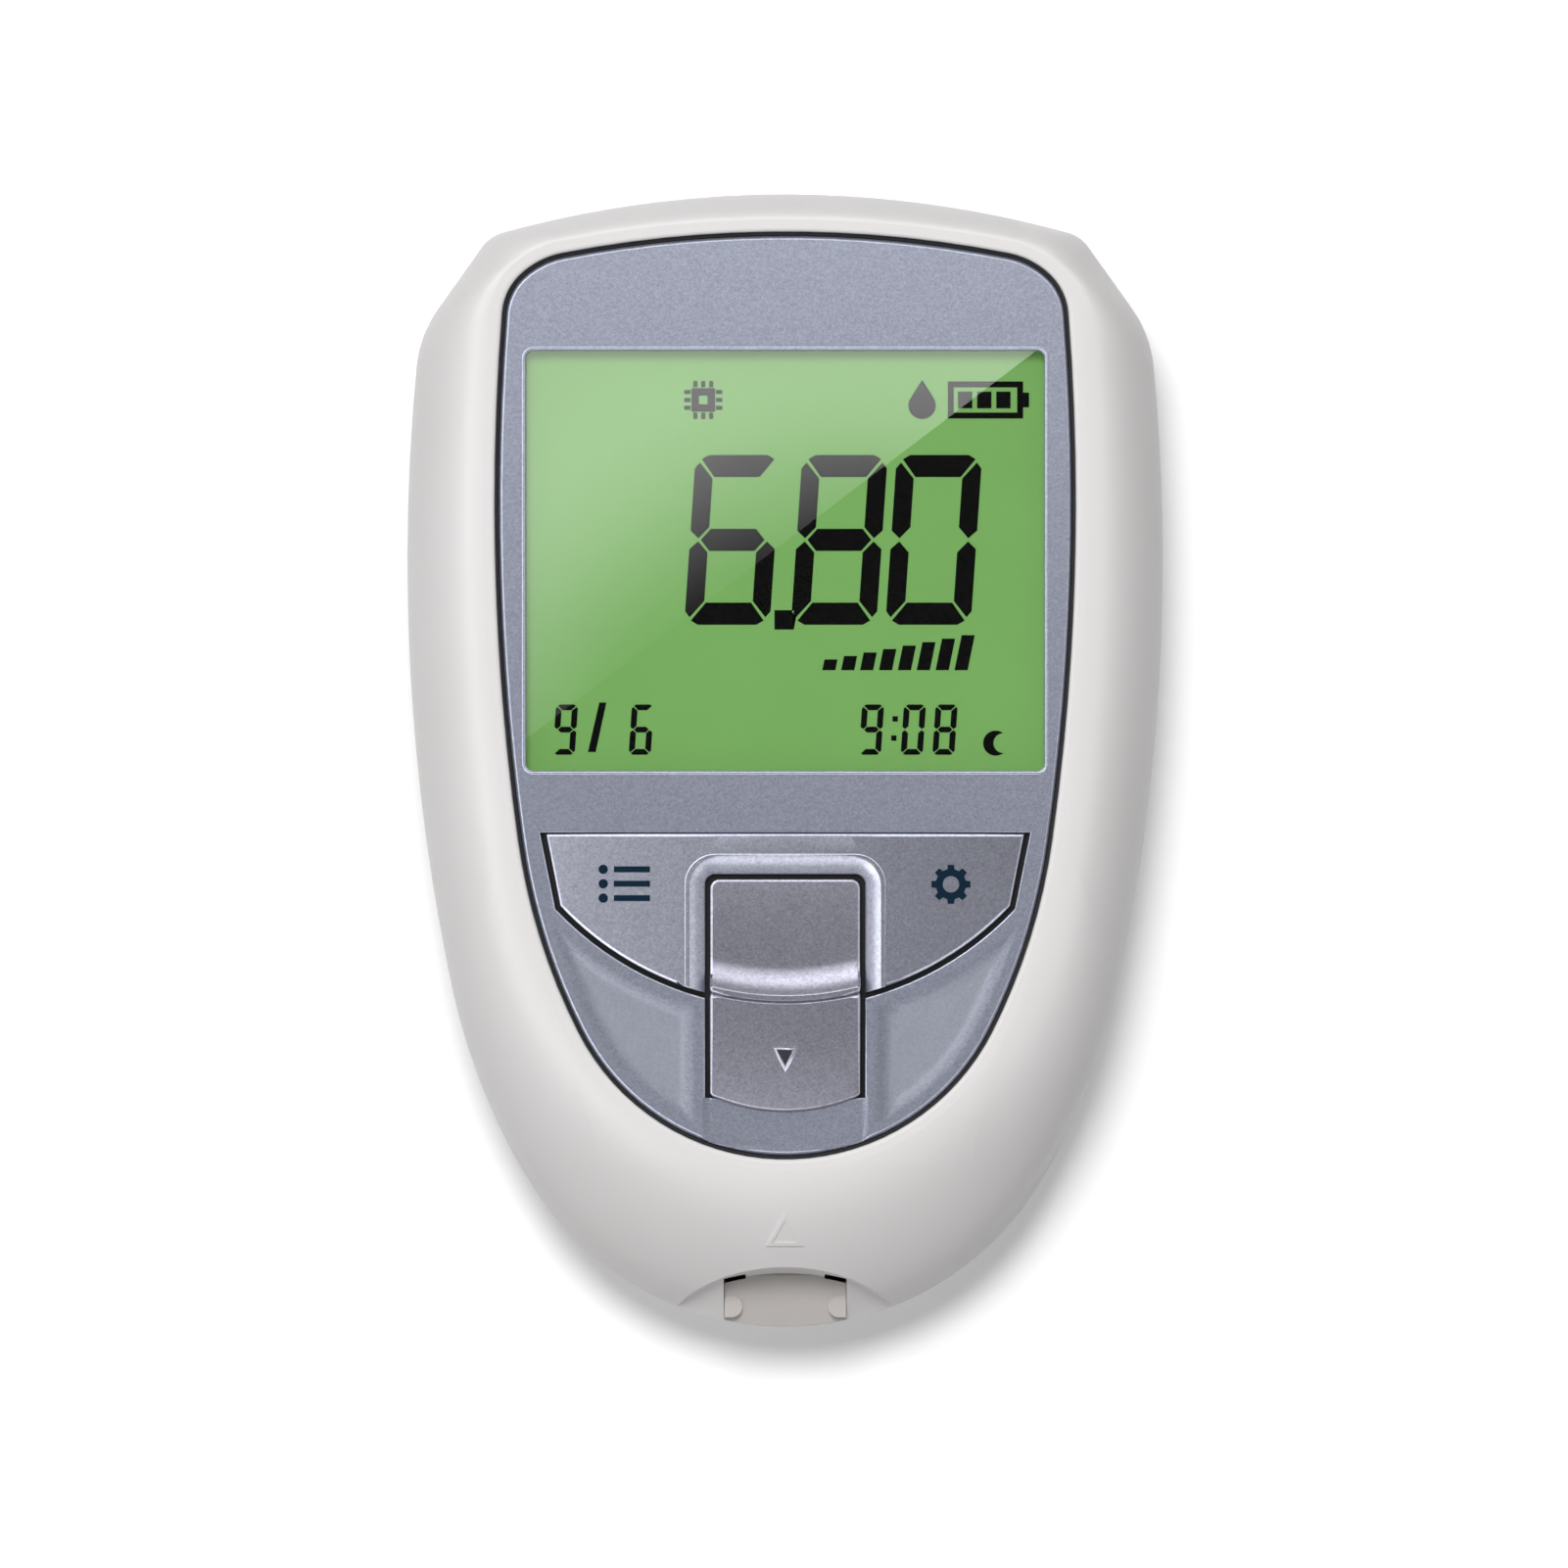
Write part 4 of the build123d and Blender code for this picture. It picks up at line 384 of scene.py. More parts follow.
finishes["lcd"] = cell_finish()
finishes["lens"] = window_finish()
finishes["backlight"] = guide_finish()
finishes["zebra"] = striped_rubber()
print("display: 4 finishes")

# %% [markdown]
# ## Plain mouldings
# Frames, chips, connector, tray and carriage are plain mouldings, and the blank label has much
# the same satin face. Few of them show, through the port or past the open battery door. A small
# drift in colour and a fine skin keep each from looking like a flat patch, so one function does.

# %% Moulding finishes
def moulding(name, dark, light, rough):
    finish = Finish(name, Specular_IOR_Level=0.4)
    drift = finish.noise(3 * MM)
    finish.feed("Base Color", finish.blend(drift, dark, light))
    finish.feed("Roughness", rough + 0.10 * drift)
    finish.relief(finish.noise(0.10 * MM), 0.004 * MM, 0.5)
    return finish


finishes["frame"] = moulding("frame_black", colour(26, 26, 27), colour(36, 36, 37), 0.5)
finishes["chip"] = moulding("chip_black", colour(30, 30, 31), colour(42, 42, 43), 0.55)
finishes["connector"] = moulding("connector_black", colour(32, 32, 33), colour(46, 46, 47), 0.45)
finishes["tray"] = moulding("tray_grey", colour(186, 181, 178), colour(196, 191, 188), 0.42)
finishes["inner_white"] = moulding("acetal_white", colour(216, 216, 212), colour(228, 228, 225), 0.35)
finishes["label"] = moulding("label_silver", colour(196, 197, 199), colour(206, 207, 209), 0.38)
print("mouldings: 6")

# %% [markdown]
# ## Board and metals
# The board is glass cloth under a green mask, with faint copper tracks that a brick pattern can
# suggest. Bare metals show brush lines. These are noise that is stretched along one axis, so a
# Mapping node squeezes the other two. The two battery cells wear plain printed sleeves and lie
# head to tail, so the sleeve's bright band turns with them.

# %% Board and metal finishes
def board_finish():
    """Green solder mask over copper, with faint tracks under it."""
    finish = Finish("solder_mask", Specular_IOR_Level=0.5)
    track = finish.node(
        "ShaderNodeTexBrick", {"offset": 0.5},
        {"Vector": finish.place(), "Scale": 220.0, "Mortar Size": 0.03, "Brick Width": 0.9,
         "Row Height": 0.35, "Color1": (0, 0, 0, 1), "Color2": (0, 0, 0, 1), "Mortar": (1, 1, 1, 1)},
    )
    finish.feed("Base Color", finish.blend(track, colour(20, 84, 44), colour(44, 122, 68)))
    finish.feed("Roughness", 0.3 + 0.1 * finish.noise(2 * MM))
    finish.relief(track, 0.03 * MM, 0.5)
    return finish


def brushed(name, dark, light, rough, along):
    finish = Finish(name, Metallic=1.0)
    squeeze = [4 / MM, 4 / MM, 4 / MM]
    squeeze[along] = 0.25 / MM
    stretched = finish.node(
        "ShaderNodeMapping", {"vector_type": "POINT"}, {"Vector": finish.place(), "Scale": squeeze}
    )
    line = finish.node("ShaderNodeTexNoise", (), {"Vector": stretched, "Scale": 1.0, "Detail": 3.0})
    finish.feed("Base Color", finish.blend(line, dark, light))
    finish.feed("Roughness", rough + 0.15 * line)
    finish.relief(line, 0.004 * MM, 0.4)
    return finish


BAND_START, BAND_END = 0.78, 0.96  # shares of a cell's length


def sleeve_finish():
    """A dark tube with a bright band near one end of each cell."""
    finish = Finish("cell_sleeve", Specular_IOR_Level=0.5)
    low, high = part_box("battery_cells")
    upward = finish.map_range(finish.axis("Y"), low.y, high.y, 0.0, 1.0, smooth=False)
    right_cell = finish.axis("X") > 0.0
    along = right_cell * (1 - upward) + (1 - right_cell) * upward
    band = (along > BAND_START) * (along < BAND_END)
    finish.feed("Base Color", finish.blend(band, colour(46, 72, 112), colour(206, 168, 92)))
    finish.feed("Metallic", 0.35 + 0.45 * band)
    finish.feed("Roughness", 0.3 + 0.1 * finish.noise(2 * MM))
    return finish


finishes["board"] = board_finish()
finishes["steel"] = brushed("bright_steel", colour(196, 196, 198), colour(224, 224, 226), 0.25, 1)
finishes["screw"] = brushed("zinc_steel", colour(168, 170, 172), colour(206, 207, 209), 0.3, 0)
finishes["gold"] = brushed("gold_leaf", colour(226, 188, 110), colour(244, 212, 140), 0.2, 1)
finishes["cell"] = sleeve_finish()
print("finishes made:", len(finishes))

# %% [markdown]
# ## Paint every CAD node
# A CAD node keeps its mesh and only gets a new material in its slot. The record says which
# finish each node takes, so a loop over it can't miss one.

# %% Put the finishes on
slot_of = {part["node"]: part["material_slot"] for part in frame["record"]["subparts"]}
for name, slot in slot_of.items():
    piece = nodes[name]
    piece.data.materials.clear()
    piece.data.materials.append(finishes[slot].material)
print("painted", len(slot_of), "nodes")

# %% [markdown]
# ## Edges that catch the light
# No moulded edge is knife sharp. The faceplate, the keys and the slider have edges of a tenth
# or two of a millimetre that show as bright lines. A solid model with such tiny rounds is heavy
# and fragile, so they are added here: a copy of the node's mesh is merged, its flat parts are
# joined to large faces, and chosen edges are bevelled. The copy then stands for the node.

# %% Putting a piece in the place of a node
def link_piece(name, mesh):
    piece = bpy.data.objects.new(name, mesh)
    bpy.context.scene.collection.objects.link(piece)
    return piece


def plain_mesh(piece):
    """The mesh that a piece has once its curve or its modifiers are worked out."""
    bpy.context.view_layer.update()
    graph = bpy.context.evaluated_depsgraph_get()
    return bpy.data.meshes.new_from_object(piece.evaluated_get(graph))


def stand_for(piece, node, body):
    """Puts a piece on a body and hides the CAD node that it stands for."""
    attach(piece, body)
    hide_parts(node)
    print(piece.name, "has", len(piece.data.polygons), "faces")
    return piece


# %% A rounded copy of a node
def rounded(node, rounds, touch_up=None):
    """Bevels a node's edges. Each round is a test for an edge, a width and a segment count."""
    form = bmesh.new()
    form.from_mesh(nodes[node].data)
    bmesh.ops.remove_doubles(form, verts=form.verts, dist=0.002 * MM)
    bmesh.ops.dissolve_limit(form, angle_limit=radians(0.2), verts=form.verts, edges=form.edges)
    if touch_up:
        touch_up(form)
    for test, width, segments in rounds:
        chosen = [edge for edge in form.edges if test(edge)]
        bmesh.ops.bevel(
            form, geom=chosen, offset=width, offset_type="OFFSET", segments=segments, profile=0.5,
            affect="EDGES", clamp_overlap=False,
        )
    mesh = bpy.data.meshes.new(node + "_rounded")
    form.to_mesh(mesh)
    form.free()
    mesh.materials.append(nodes[node].data.materials[0])
    return mesh


def even_normals(piece, sharp=20):
    """Lets large faces rule the shading, and keeps edges sharper than a limit."""
    piece.data.shade_smooth()
    piece.data.set_sharp_from_angle(angle=radians(sharp))
    modifier = piece.modifiers.new("weights", "WEIGHTED_NORMAL")
    modifier.keep_sharp = True
    mesh = plain_mesh(piece)
    piece.modifiers.remove(modifier)
    piece.data = mesh
    return piece


def stand_in(node, body, rounds, touch_up=None):
    piece = link_piece(node + "_rounded", rounded(node, rounds, touch_up))
    return stand_for(even_normals(piece), node, body)


# %% [markdown]
# ## Which edges are rounded
# An outer edge is chosen by its place and by how sharply its two faces turn. The keys and the
# slider have soft edges, and the faceplate's are finer. The rim round the slider, the slider's
# ridge and its engraved mark have little room, so their rounds are finer still. Edges that turn
# inwards are left alone, because a bevel there curls up where it meets a slope.
#
# The faceplate's pools and the end of its channel are also made a little shallower. As deep as
# the solid has them, their walls throw lines that are harder than a lacquered hollow shows.

# %% Tests for an edge
FACE_TOP = window_high.z + 0.3 * MM
RIM_HALF_WIDTH = 8.9 * MM
RIM_TOP_Y = -7.6 * MM
RIDGE_HALF_WIDTH = 6.1 * MM
RIDGE_TOP_Y = -18 * MM
MARK_LOW_Y = -28.4 * MM


def stands_out(edge, low, high, level):
    """Whether an edge lies above a level and its faces turn outwards by low to high degrees."""
    outward = edge.is_manifold and edge.is_convex
    above = min(end.co.z for end in edge.verts) > level
    return outward and above and radians(low) < edge.calc_face_angle(0.0) < radians(high)


def near_rim(edge):
    middle = (edge.verts[0].co + edge.verts[1].co) / 2
    return abs(middle.x) < RIM_HALF_WIDTH and middle.y < RIM_TOP_Y


def on_ridge(edge):
    return all(
        abs(end.co.x) < RIDGE_HALF_WIDTH and MARK_LOW_Y < end.co.y < RIDGE_TOP_Y for end in edge.verts
    )


def face_edge(edge):
    return stands_out(edge, 30, 130, FACE_TOP - 0.25 * MM)


def key_edge(edge):
    return stands_out(edge, 50, 130, FACE_TOP) and not near_rim(edge)


def rim_edge(edge):
    return stands_out(edge, 20, 130, FACE_TOP - 0.4 * MM) and near_rim(edge)


def fine_edge(edge):
    return stands_out(edge, 25, 150, FACE_TOP) and on_ridge(edge)


def slider_edge(edge):
    return stands_out(edge, 50, 130, FACE_TOP - 0.4 * MM) and not fine_edge(edge)


print("edges are tested above", round(FACE_TOP / MM, 2), "mm")

# %% Faceplate, keys and slider
PLATE_TOP = 21.70 * MM  # level of the faceplate's field
CHAMFER_DEPTH = 0.22 * MM
POOL_DEPTHS = (0.01 * MM, 0.27 * MM)
POOLS_TOP_Y = -14.5 * MM
CHANNEL_END_Y = -31 * MM
CHANNEL_END_DEPTH = 0.23 * MM
POOL_KEEPS = 0.6
CHANNEL_END_KEEPS = 0.4


def soften_hollows(form):
    """Raises what lies a little below the faceplate's field, apart from the chamfer's foot."""
    for vertex in form.verts:
        below = PLATE_TOP - vertex.co.z
        in_hollow = POOL_DEPTHS[0] < below < POOL_DEPTHS[1] and vertex.co.y < POOLS_TOP_Y
        on_chamfer = abs(below - CHAMFER_DEPTH) < 0.005 * MM
        if in_hollow and not on_chamfer:
            at_end = vertex.co.y < CHANNEL_END_Y and below > CHANNEL_END_DEPTH
            vertex.co.z = PLATE_TOP - below * (CHANNEL_END_KEEPS if at_end else POOL_KEEPS)


stand_in("faceplate", "case", [(face_edge, 0.11 * MM, 2)], soften_hollows)
stand_in("key_plate", "key_rocker", [(key_edge, 0.26 * MM, 2), (rim_edge, 0.10 * MM, 2)])
slider = stand_in("eject_slider", "ejector", [(slider_edge, 0.24 * MM, 2), (fine_edge, 0.05 * MM, 2)])

# %% [markdown]
# ## Flat signs
# The display's segments and the signs on the keys are thin prints. Each sign is a few closed
# loops, where a loop inside another is a hole. A flat curve fills such loops by itself and can
# be given a thickness, and it is turned into a mesh before it is put in its place.

# %% From loops to a thin print
PRINT_THICKNESS = 0.03 * MM


def flat_print(name, loops, level, finish):
    """A mesh object from closed loops of (x, y) in millimetres, lying on a level."""
    curve = bpy.data.curves.new(name, "CURVE")
    curve.dimensions = "2D"
    curve.fill_mode = "BOTH"
    curve.extrude = PRINT_THICKNESS / 2
    for loop in loops:
        spline = curve.splines.new("POLY")
        spline.points.add(len(loop) - 1)
        for point, (x, y) in zip(spline.points, loop):
            point.co = (x * MM, y * MM, 0, 1)
        spline.use_cyclic_u = True
    carrier = link_piece(name + "_curve", curve)
    mesh = plain_mesh(carrier)
    bpy.data.objects.remove(carrier)
    mesh.transform(Matrix.Translation((0, 0, level + PRINT_THICKNESS / 2)))
    mesh.materials.clear()
    mesh.materials.append(finish.material)
    mesh.name = name
    return link_piece(name, mesh)


print("a print is", round(PRINT_THICKNESS / MM, 2), "mm thick")

# %% Loops and inks
def box_loop(left, low, right, high):
    return [(left, low), (right, low), (right, high), (left, high)]


def round_loop(x, y, radius, count, start=0.0, sweep=tau):
    return [
        (x + radius * cos(start + sweep * i / count), y + radius * sin(start + sweep * i / count))
        for i in range(count)
    ]


def ink_and_shade_finish(name, shade):
    """A matt ink whose tone drifts by a hair; the arrowhead's painted shade uses it too."""
    finish = Finish(name, Specular_IOR_Level=0.05)
    lighter = [part + 6 for part in shade]
    finish.feed("Base Color", finish.blend(finish.noise(0.4 * MM), colour(*shade), colour(*lighter)))
    finish.feed("Roughness", 0.5 + 0.1 * finish.noise(0.2 * MM))
    return finish


segment_ink = ink_and_shade_finish("segment_black", (2, 3, 2))
key_ink = ink_and_shade_finish("key_ink", (14, 34, 50))
print("inks: 2")

# %% [markdown]
# ## Numbers of seven bars
# A number on such a display lights some of seven bars. The bars meet in slanted mitres with a
# thin gap between them, and the whole number leans a little to the right. One function places
# the seven bars from the number's height, width and bar widths, so large and small numbers
# come from the same rule.

# %% One number from its bars
LIT_BARS = {
    "0": "abcdef", "1": "bc", "2": "abged", "3": "abgcd", "4": "fgbc",
    "5": "afgcd", "6": "afgedc", "7": "abc", "8": "abcdefg", "9": "abcdfg",
}
LEAN = 0.068  # shift to the right for each unit of height


def number_bars(width, height, upright, level, gap, corner):
    """Loops of the seven bars of a number whose lower left corner is at the origin.

    Upright and level are the bars' widths, and corner is how far the outer corners are cut.
    """
    w, h, u, v, g, c = width, height, upright, level, gap, corner
    m = h / 2
    top = [(c + g, h), (w - c - g, h), (w - c * 0.4 - g, h - c * 0.35), (w - u - g, h - v),
           (u + g, h - v), (c * 0.4 + g, h - c * 0.35)]
    bottom = [(x, h - y) for x, y in top]
    middle = [(u * 0.5 + g, m), (u + g, m + v / 2), (w - u - g, m + v / 2), (w - u * 0.5 - g, m),
              (w - u - g, m - v / 2), (u + g, m - v / 2)]
    left_top = [(c * 0.4, h - c * 0.5 - g), (0, h - c - g), (0, m + v * 0.35 + g), (u * 0.45, m + g),
                (u, m + v / 2 + g), (u, h - v - g)]
    left_low = [(x, h - y) for x, y in left_top]
    right_top = [(w - x, y) for x, y in left_top]
    right_low = [(w - x, y) for x, y in left_low]
    return {
        "a": top, "b": right_top, "c": right_low, "d": bottom, "e": left_low, "f": left_top, "g": middle
    }


def number_loops(number, left, low, bars):
    """The lit bars of a number, moved to its place and leaned over."""
    return [[(left + x + LEAN * y, low + y) for x, y in bars[bar]] for bar in LIT_BARS[number]]


print("bars to a number:", len(LIT_BARS["8"]))

# %% The large number
CELL_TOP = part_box("lcd_cell")[1].z
LARGE_LOW = 11.35
LARGE_BARS = number_bars(width=7.15, height=14.2, upright=1.55, level=1.85, gap=0.13, corner=1.0)
POINT = box_loop(-0.9, 10.95, 0.72, 12.57)

large_loops = []
for number, left in (("6", -8.45), ("8", 0.47), ("0", 8.37)):
    large_loops += number_loops(number, left, LARGE_LOW, LARGE_BARS)
large_loops.append(POINT)
large_number = flat_print("display_number", large_loops, CELL_TOP, segment_ink)
print("large number:", len(large_loops), "bars")

# %% Date and time
SMALL_LOW = 0.48
SMALL_BARS = number_bars(width=1.85, height=4.2, upright=0.5, level=0.48, gap=0.05, corner=0.3)
STROKE = [(-16.5, 0.7), (-15.85, 0.7), (-14.95, 4.85), (-15.55, 4.85)]
DOT_LEFT, DOT_SIDE = 8.75, 0.45
DOT_LOWS = (1.65, 3.25)

small_loops = []
for number, left in (("9", -19.45), ("6", -13.1), ("9", 6.15), ("0", 9.65), ("8", 12.3)):
    small_loops += number_loops(number, left, SMALL_LOW, SMALL_BARS)
small_loops.append(STROKE)
for low in DOT_LOWS:
    left = DOT_LEFT + LEAN * low
    small_loops.append(box_loop(left, low, left + DOT_SIDE, low + DOT_SIDE))
small_numbers = flat_print("display_date_and_time", small_loops, CELL_TOP, segment_ink)
print("date and time:", len(small_loops), "bars")

# %% [markdown]
# ## Signs on the display
# Plain signs tell the user what the number is: a memory chip for a stored reading, a drop and a
# battery at the upper right, a row of growing bars under the number and a moon for the evening.

# %% Sign shapes
def chip_sign(x, y, size):
    """A square body with three pins on each side."""
    body, wall, pin, gap = 0.62 * size, 0.2 * size, 0.11 * size, 0.02 * size
    low = (size - body) / 2
    high = low + body
    loops = [
        box_loop(x + low, y + low, x + high, y + high),
        box_loop(x + low + wall, y + low + wall, x + high - wall, y + high - wall),
    ]
    for i in range(3):
        place = low + body * (i + 0.5) / 3 - pin / 2
        for start in (0, high + gap):
            end = start + low - gap
            loops.append(box_loop(x + place, y + start, x + place + pin, y + end))
            loops.append(box_loop(x + start, y + place, x + end, y + place + pin))
    return loops


def drop_sign(x, y, width, height):
    """A round foot whose sides run straight to a tip."""
    radius = width / 2
    start = sin(radius / (height - radius))  # where the foot's arc meets the right side
    arc = round_loop(x + radius, y + radius, radius, 28, start=start, sweep=-(pi + 2 * start))
    return [[(x + radius, y + height), *arc]]


def battery_sign(x, y, width, height, line):
    """An outline with its terminal. The level bars are a print of their own."""
    body = width - line
    low, high = y + height * 0.3, y + height * 0.7
    outline = [(x, y), (x + body, y), (x + body, low), (x + width, low), (x + width, high),
               (x + body, high), (x + body, y + height), (x, y + height)]
    return [outline, box_loop(x + line, y + line, x + body - line, y + height - line)]


def battery_bars(x, y, width, height, line, count=3):
    room = (width - 4 * line) / count
    inset = 1.7 * line
    return [
        box_loop(x + inset + i * room, y + inset, x + inset + (i + 0.75) * room, y + height - inset)
        for i in range(count)
    ]


def moon_sign(x, y, radius):
    """A round disc less a smaller one to its right."""
    outer = round_loop(x, y, radius, 26, start=radians(52), sweep=radians(256))
    inner = round_loop(x + radius * 0.62, y, radius * 0.79, 26, start=radians(-86), sweep=radians(-188))
    return [outer + inner]


print("sign shapes: 5")

# %% Signs in their places
BATTERY = {"x": 13.6, "y": 28.6, "width": 6.8, "height": 3.1, "line": 0.5}

signs = chip_sign(x=-8.45, y=28.55, size=3.2)
signs += drop_sign(x=10.3, y=28.55, width=2.3, height=3.3)
signs += battery_sign(**BATTERY)
signs += moon_sign(x=17.6, y=1.45, radius=1.05)
display_signs = flat_print("display_signs", signs, CELL_TOP, segment_ink)
battery_level = flat_print("display_battery_level", battery_bars(**BATTERY), CELL_TOP, segment_ink)
print("display signs:", len(signs), "loops")

# %% [markdown]
# ## Recipes for shapes that follow a rule
# Geometry Nodes make what repeats or follows a path. A recipe is such a tree, with named inputs
# for its sizes. It runs once, on an empty mesh: the inputs are set by their sockets' identifiers,
# the copies are made real, and the result is kept as a plain mesh, because an exported model
# can't carry a tree.

# %% A geometry recipe
class Recipe(Graph):
    """A Geometry Nodes tree with named inputs. It ends in real mesh with one material."""

    def __init__(self, name):
        super().__init__(bpy.data.node_groups.new(name, "GeometryNodeTree"))
        self.tree.interface.new_socket("Geometry", in_out="OUTPUT", socket_type="NodeSocketGeometry")
        self.start = self.tree.nodes.new("NodeGroupInput")
        self.sizes = {}

    def size(self, name, value, kind="NodeSocketFloat"):
        """Adds a named input and returns it as a value."""
        socket = self.tree.interface.new_socket(name, in_out="INPUT", socket_type=kind)
        self.sizes[socket.identifier] = value
        return Value(self, self.start.outputs[name])

    def join_meshes(self, *meshes):
        joined = self.tree.nodes.new("GeometryNodeJoinGeometry")
        for mesh in reversed(meshes):
            self.tree.links.new(mesh.socket, joined.inputs[0])
        return Value(self, joined.outputs[0])

    def vector(self, x=0.0, y=0.0, z=0.0):
        return self.node("ShaderNodeCombineXYZ", (), {0: x, 1: y, 2: z})

    def moved(self, geometry, translation=(0, 0, 0), rotation=(0, 0, 0)):
        return self.node(
            "GeometryNodeTransform", (),
            {"Geometry": geometry, "Translation": translation, "Rotation": rotation},
        )

    def coil(self, radius, height, turns, steps, thickness, sides):
        """A rod with this many sides, wound up a spiral."""
        spiral = self.node(
            "GeometryNodeCurveSpiral", (),
            {"Resolution": steps, "Rotations": turns, "Start Radius": radius, "End Radius": radius,
             "Height": height},
        )
        section = self.node(
            "GeometryNodeCurvePrimitiveCircle", (), {"Resolution": sides, "Radius": thickness}
        )
        return self.node(
            "GeometryNodeCurveToMesh", (),
            {"Curve": spiral, "Profile Curve": section, "Fill Caps": True},
        )

    def finish(self, geometry, material):
        real = self.node("GeometryNodeRealizeInstances", (), {0: geometry})
        painted = self.node("GeometryNodeSetMaterial", (), {"Geometry": real, "Material": material})
        end = self.tree.nodes.new("NodeGroupOutput")
        self.tree.links.new(painted.socket, end.inputs[0])

    def make(self, name):
        """Runs the tree on an empty mesh and returns a plain mesh object."""
        carrier = link_piece(name + "_recipe", bpy.data.meshes.new(name + "_recipe"))
        modifier = carrier.modifiers.new("recipe", "NODES")
        modifier.node_group = self.tree
        for identifier, value in self.sizes.items():
            modifier[identifier] = value
        mesh = plain_mesh(carrier)
        carrier.modifiers.remove(modifier)
        bpy.data.objects.remove(carrier)
        mesh.name = name
        return link_piece(name, mesh)


print("recipe tools ready")

# %% [markdown]
# ## A row of growing bars
# The level under the number repeats one slanted bar, each a little taller than the last. Its
# recipe is a line of points, one bar on each point, and a height that grows with the point's
# index. The bars lean more than the numbers do, so they are leaned over afterwards.

# %% The level row
LEVEL_LOW = 7.55 * MM
LEVEL_LEAN = 3 * LEAN


def level_row():
    recipe = Recipe("level_row")
    count = recipe.size("Bars", 8, "NodeSocketInt")
    pitch = recipe.size("Pitch", 1.58 * MM)
    width = recipe.size("Bar Width", 1.1 * MM)
    lowest = recipe.size("Lowest Bar", 0.9 * MM)
    growth = recipe.size("Growth", 0.29 * MM)
    thickness = recipe.size("Thickness", PRINT_THICKNESS)
    left = recipe.size("Left", 3.1 * MM)
    low = recipe.size("Low", LEVEL_LOW)
    start = recipe.vector(left, low, CELL_TOP)
    points = recipe.node(
        "GeometryNodeMeshLine", {"mode": "OFFSET"},
        {"Count": count, "Start Location": start, "Offset": recipe.vector(pitch)},
    )
    bar = recipe.node("GeometryNodeMeshCube", (), {"Size": recipe.vector(width, 1.0, thickness)})
    seated = recipe.moved(bar, recipe.vector(width / 2, 0.5, thickness / 2))
    index = recipe.node("GeometryNodeInputIndex")
    tall = lowest + growth * index
    row = recipe.node(
        "GeometryNodeInstanceOnPoints", (),
        {"Points": points, "Instance": seated, "Scale": recipe.vector(1.0, tall, 1.0)},
    )
    recipe.finish(row, segment_ink.material)
    piece = recipe.make("display_level")
    for vertex in piece.data.vertices:
        vertex.co.x += LEVEL_LEAN * (vertex.co.y - LEVEL_LOW)
    return piece


display_level = level_row()
print("level row:", len(display_level.data.polygons), "faces")

# %% [markdown]
# ## Screws
# Nine screws of three sizes hold the meter together. Each has a pan head with a cross recess and
# a threaded shank. They repeat one form at several places, so one Geometry Nodes tree makes them:
# a ball is pressed to a pan head, two crossed blocks cut the recess, and a ridge winds up a
# spiral for the thread. The sizes and the places are inputs of the tree.

# %% The screw recipe
def pan_head(recipe, radius, height):
    """A ball whose round section is pressed towards a square one."""
    ball = recipe.node("GeometryNodeMeshUVSphere", (), {"Segments": 48, "Rings": 24, "Radius": 1.0})
    place = recipe.node("GeometryNodeInputPosition")
    x, y, z = recipe.parts(place)
    across = x * x + y * y
    swell = (across * across + z * z * z * z) ** -0.25
    pressed = recipe.vector(x * swell * radius, y * swell * radius, (1 + z * swell) * height / 2)
    return recipe.node("GeometryNodeSetPosition", (), {"Geometry": ball, "Position": pressed})


def cross_recess(recipe, head, radius, height):
    """Two crossed blocks cut the head from above."""
    size = recipe.vector(radius * 1.1, radius * 0.24, height * 1.2)
    block = recipe.node("GeometryNodeMeshCube", (), {"Size": size})
    cut = head
    for turn in (0.0, pi / 2):
        blade = recipe.moved(block, rotation=(0, 0, turn))
        cut = recipe.node(
            "GeometryNodeMeshBoolean", {"operation": "DIFFERENCE"}, {"Mesh 1": cut, "Mesh 2": blade}
        )
    return cut


def threaded_shank(recipe, radius, length, pitch, start):
    """A core with a three-sided ridge wound round it, one pitch short at both ends."""
    core = recipe.node(
        "GeometryNodeMeshCylinder", (), {"Vertices": 24, "Radius": radius * 0.8, "Depth": length}
    )
    wound = length - 2 * pitch
    ridge = recipe.coil(radius * 0.78, wound, wound / pitch, 20, radius * 0.2, sides=3)
    core = recipe.moved(core, recipe.vector(0, 0, start + length / 2))
    ridge = recipe.moved(ridge, recipe.vector(0, 0, start + pitch))
    return recipe.join_meshes(core, ridge)


print("screw parts: head, recess, shank")

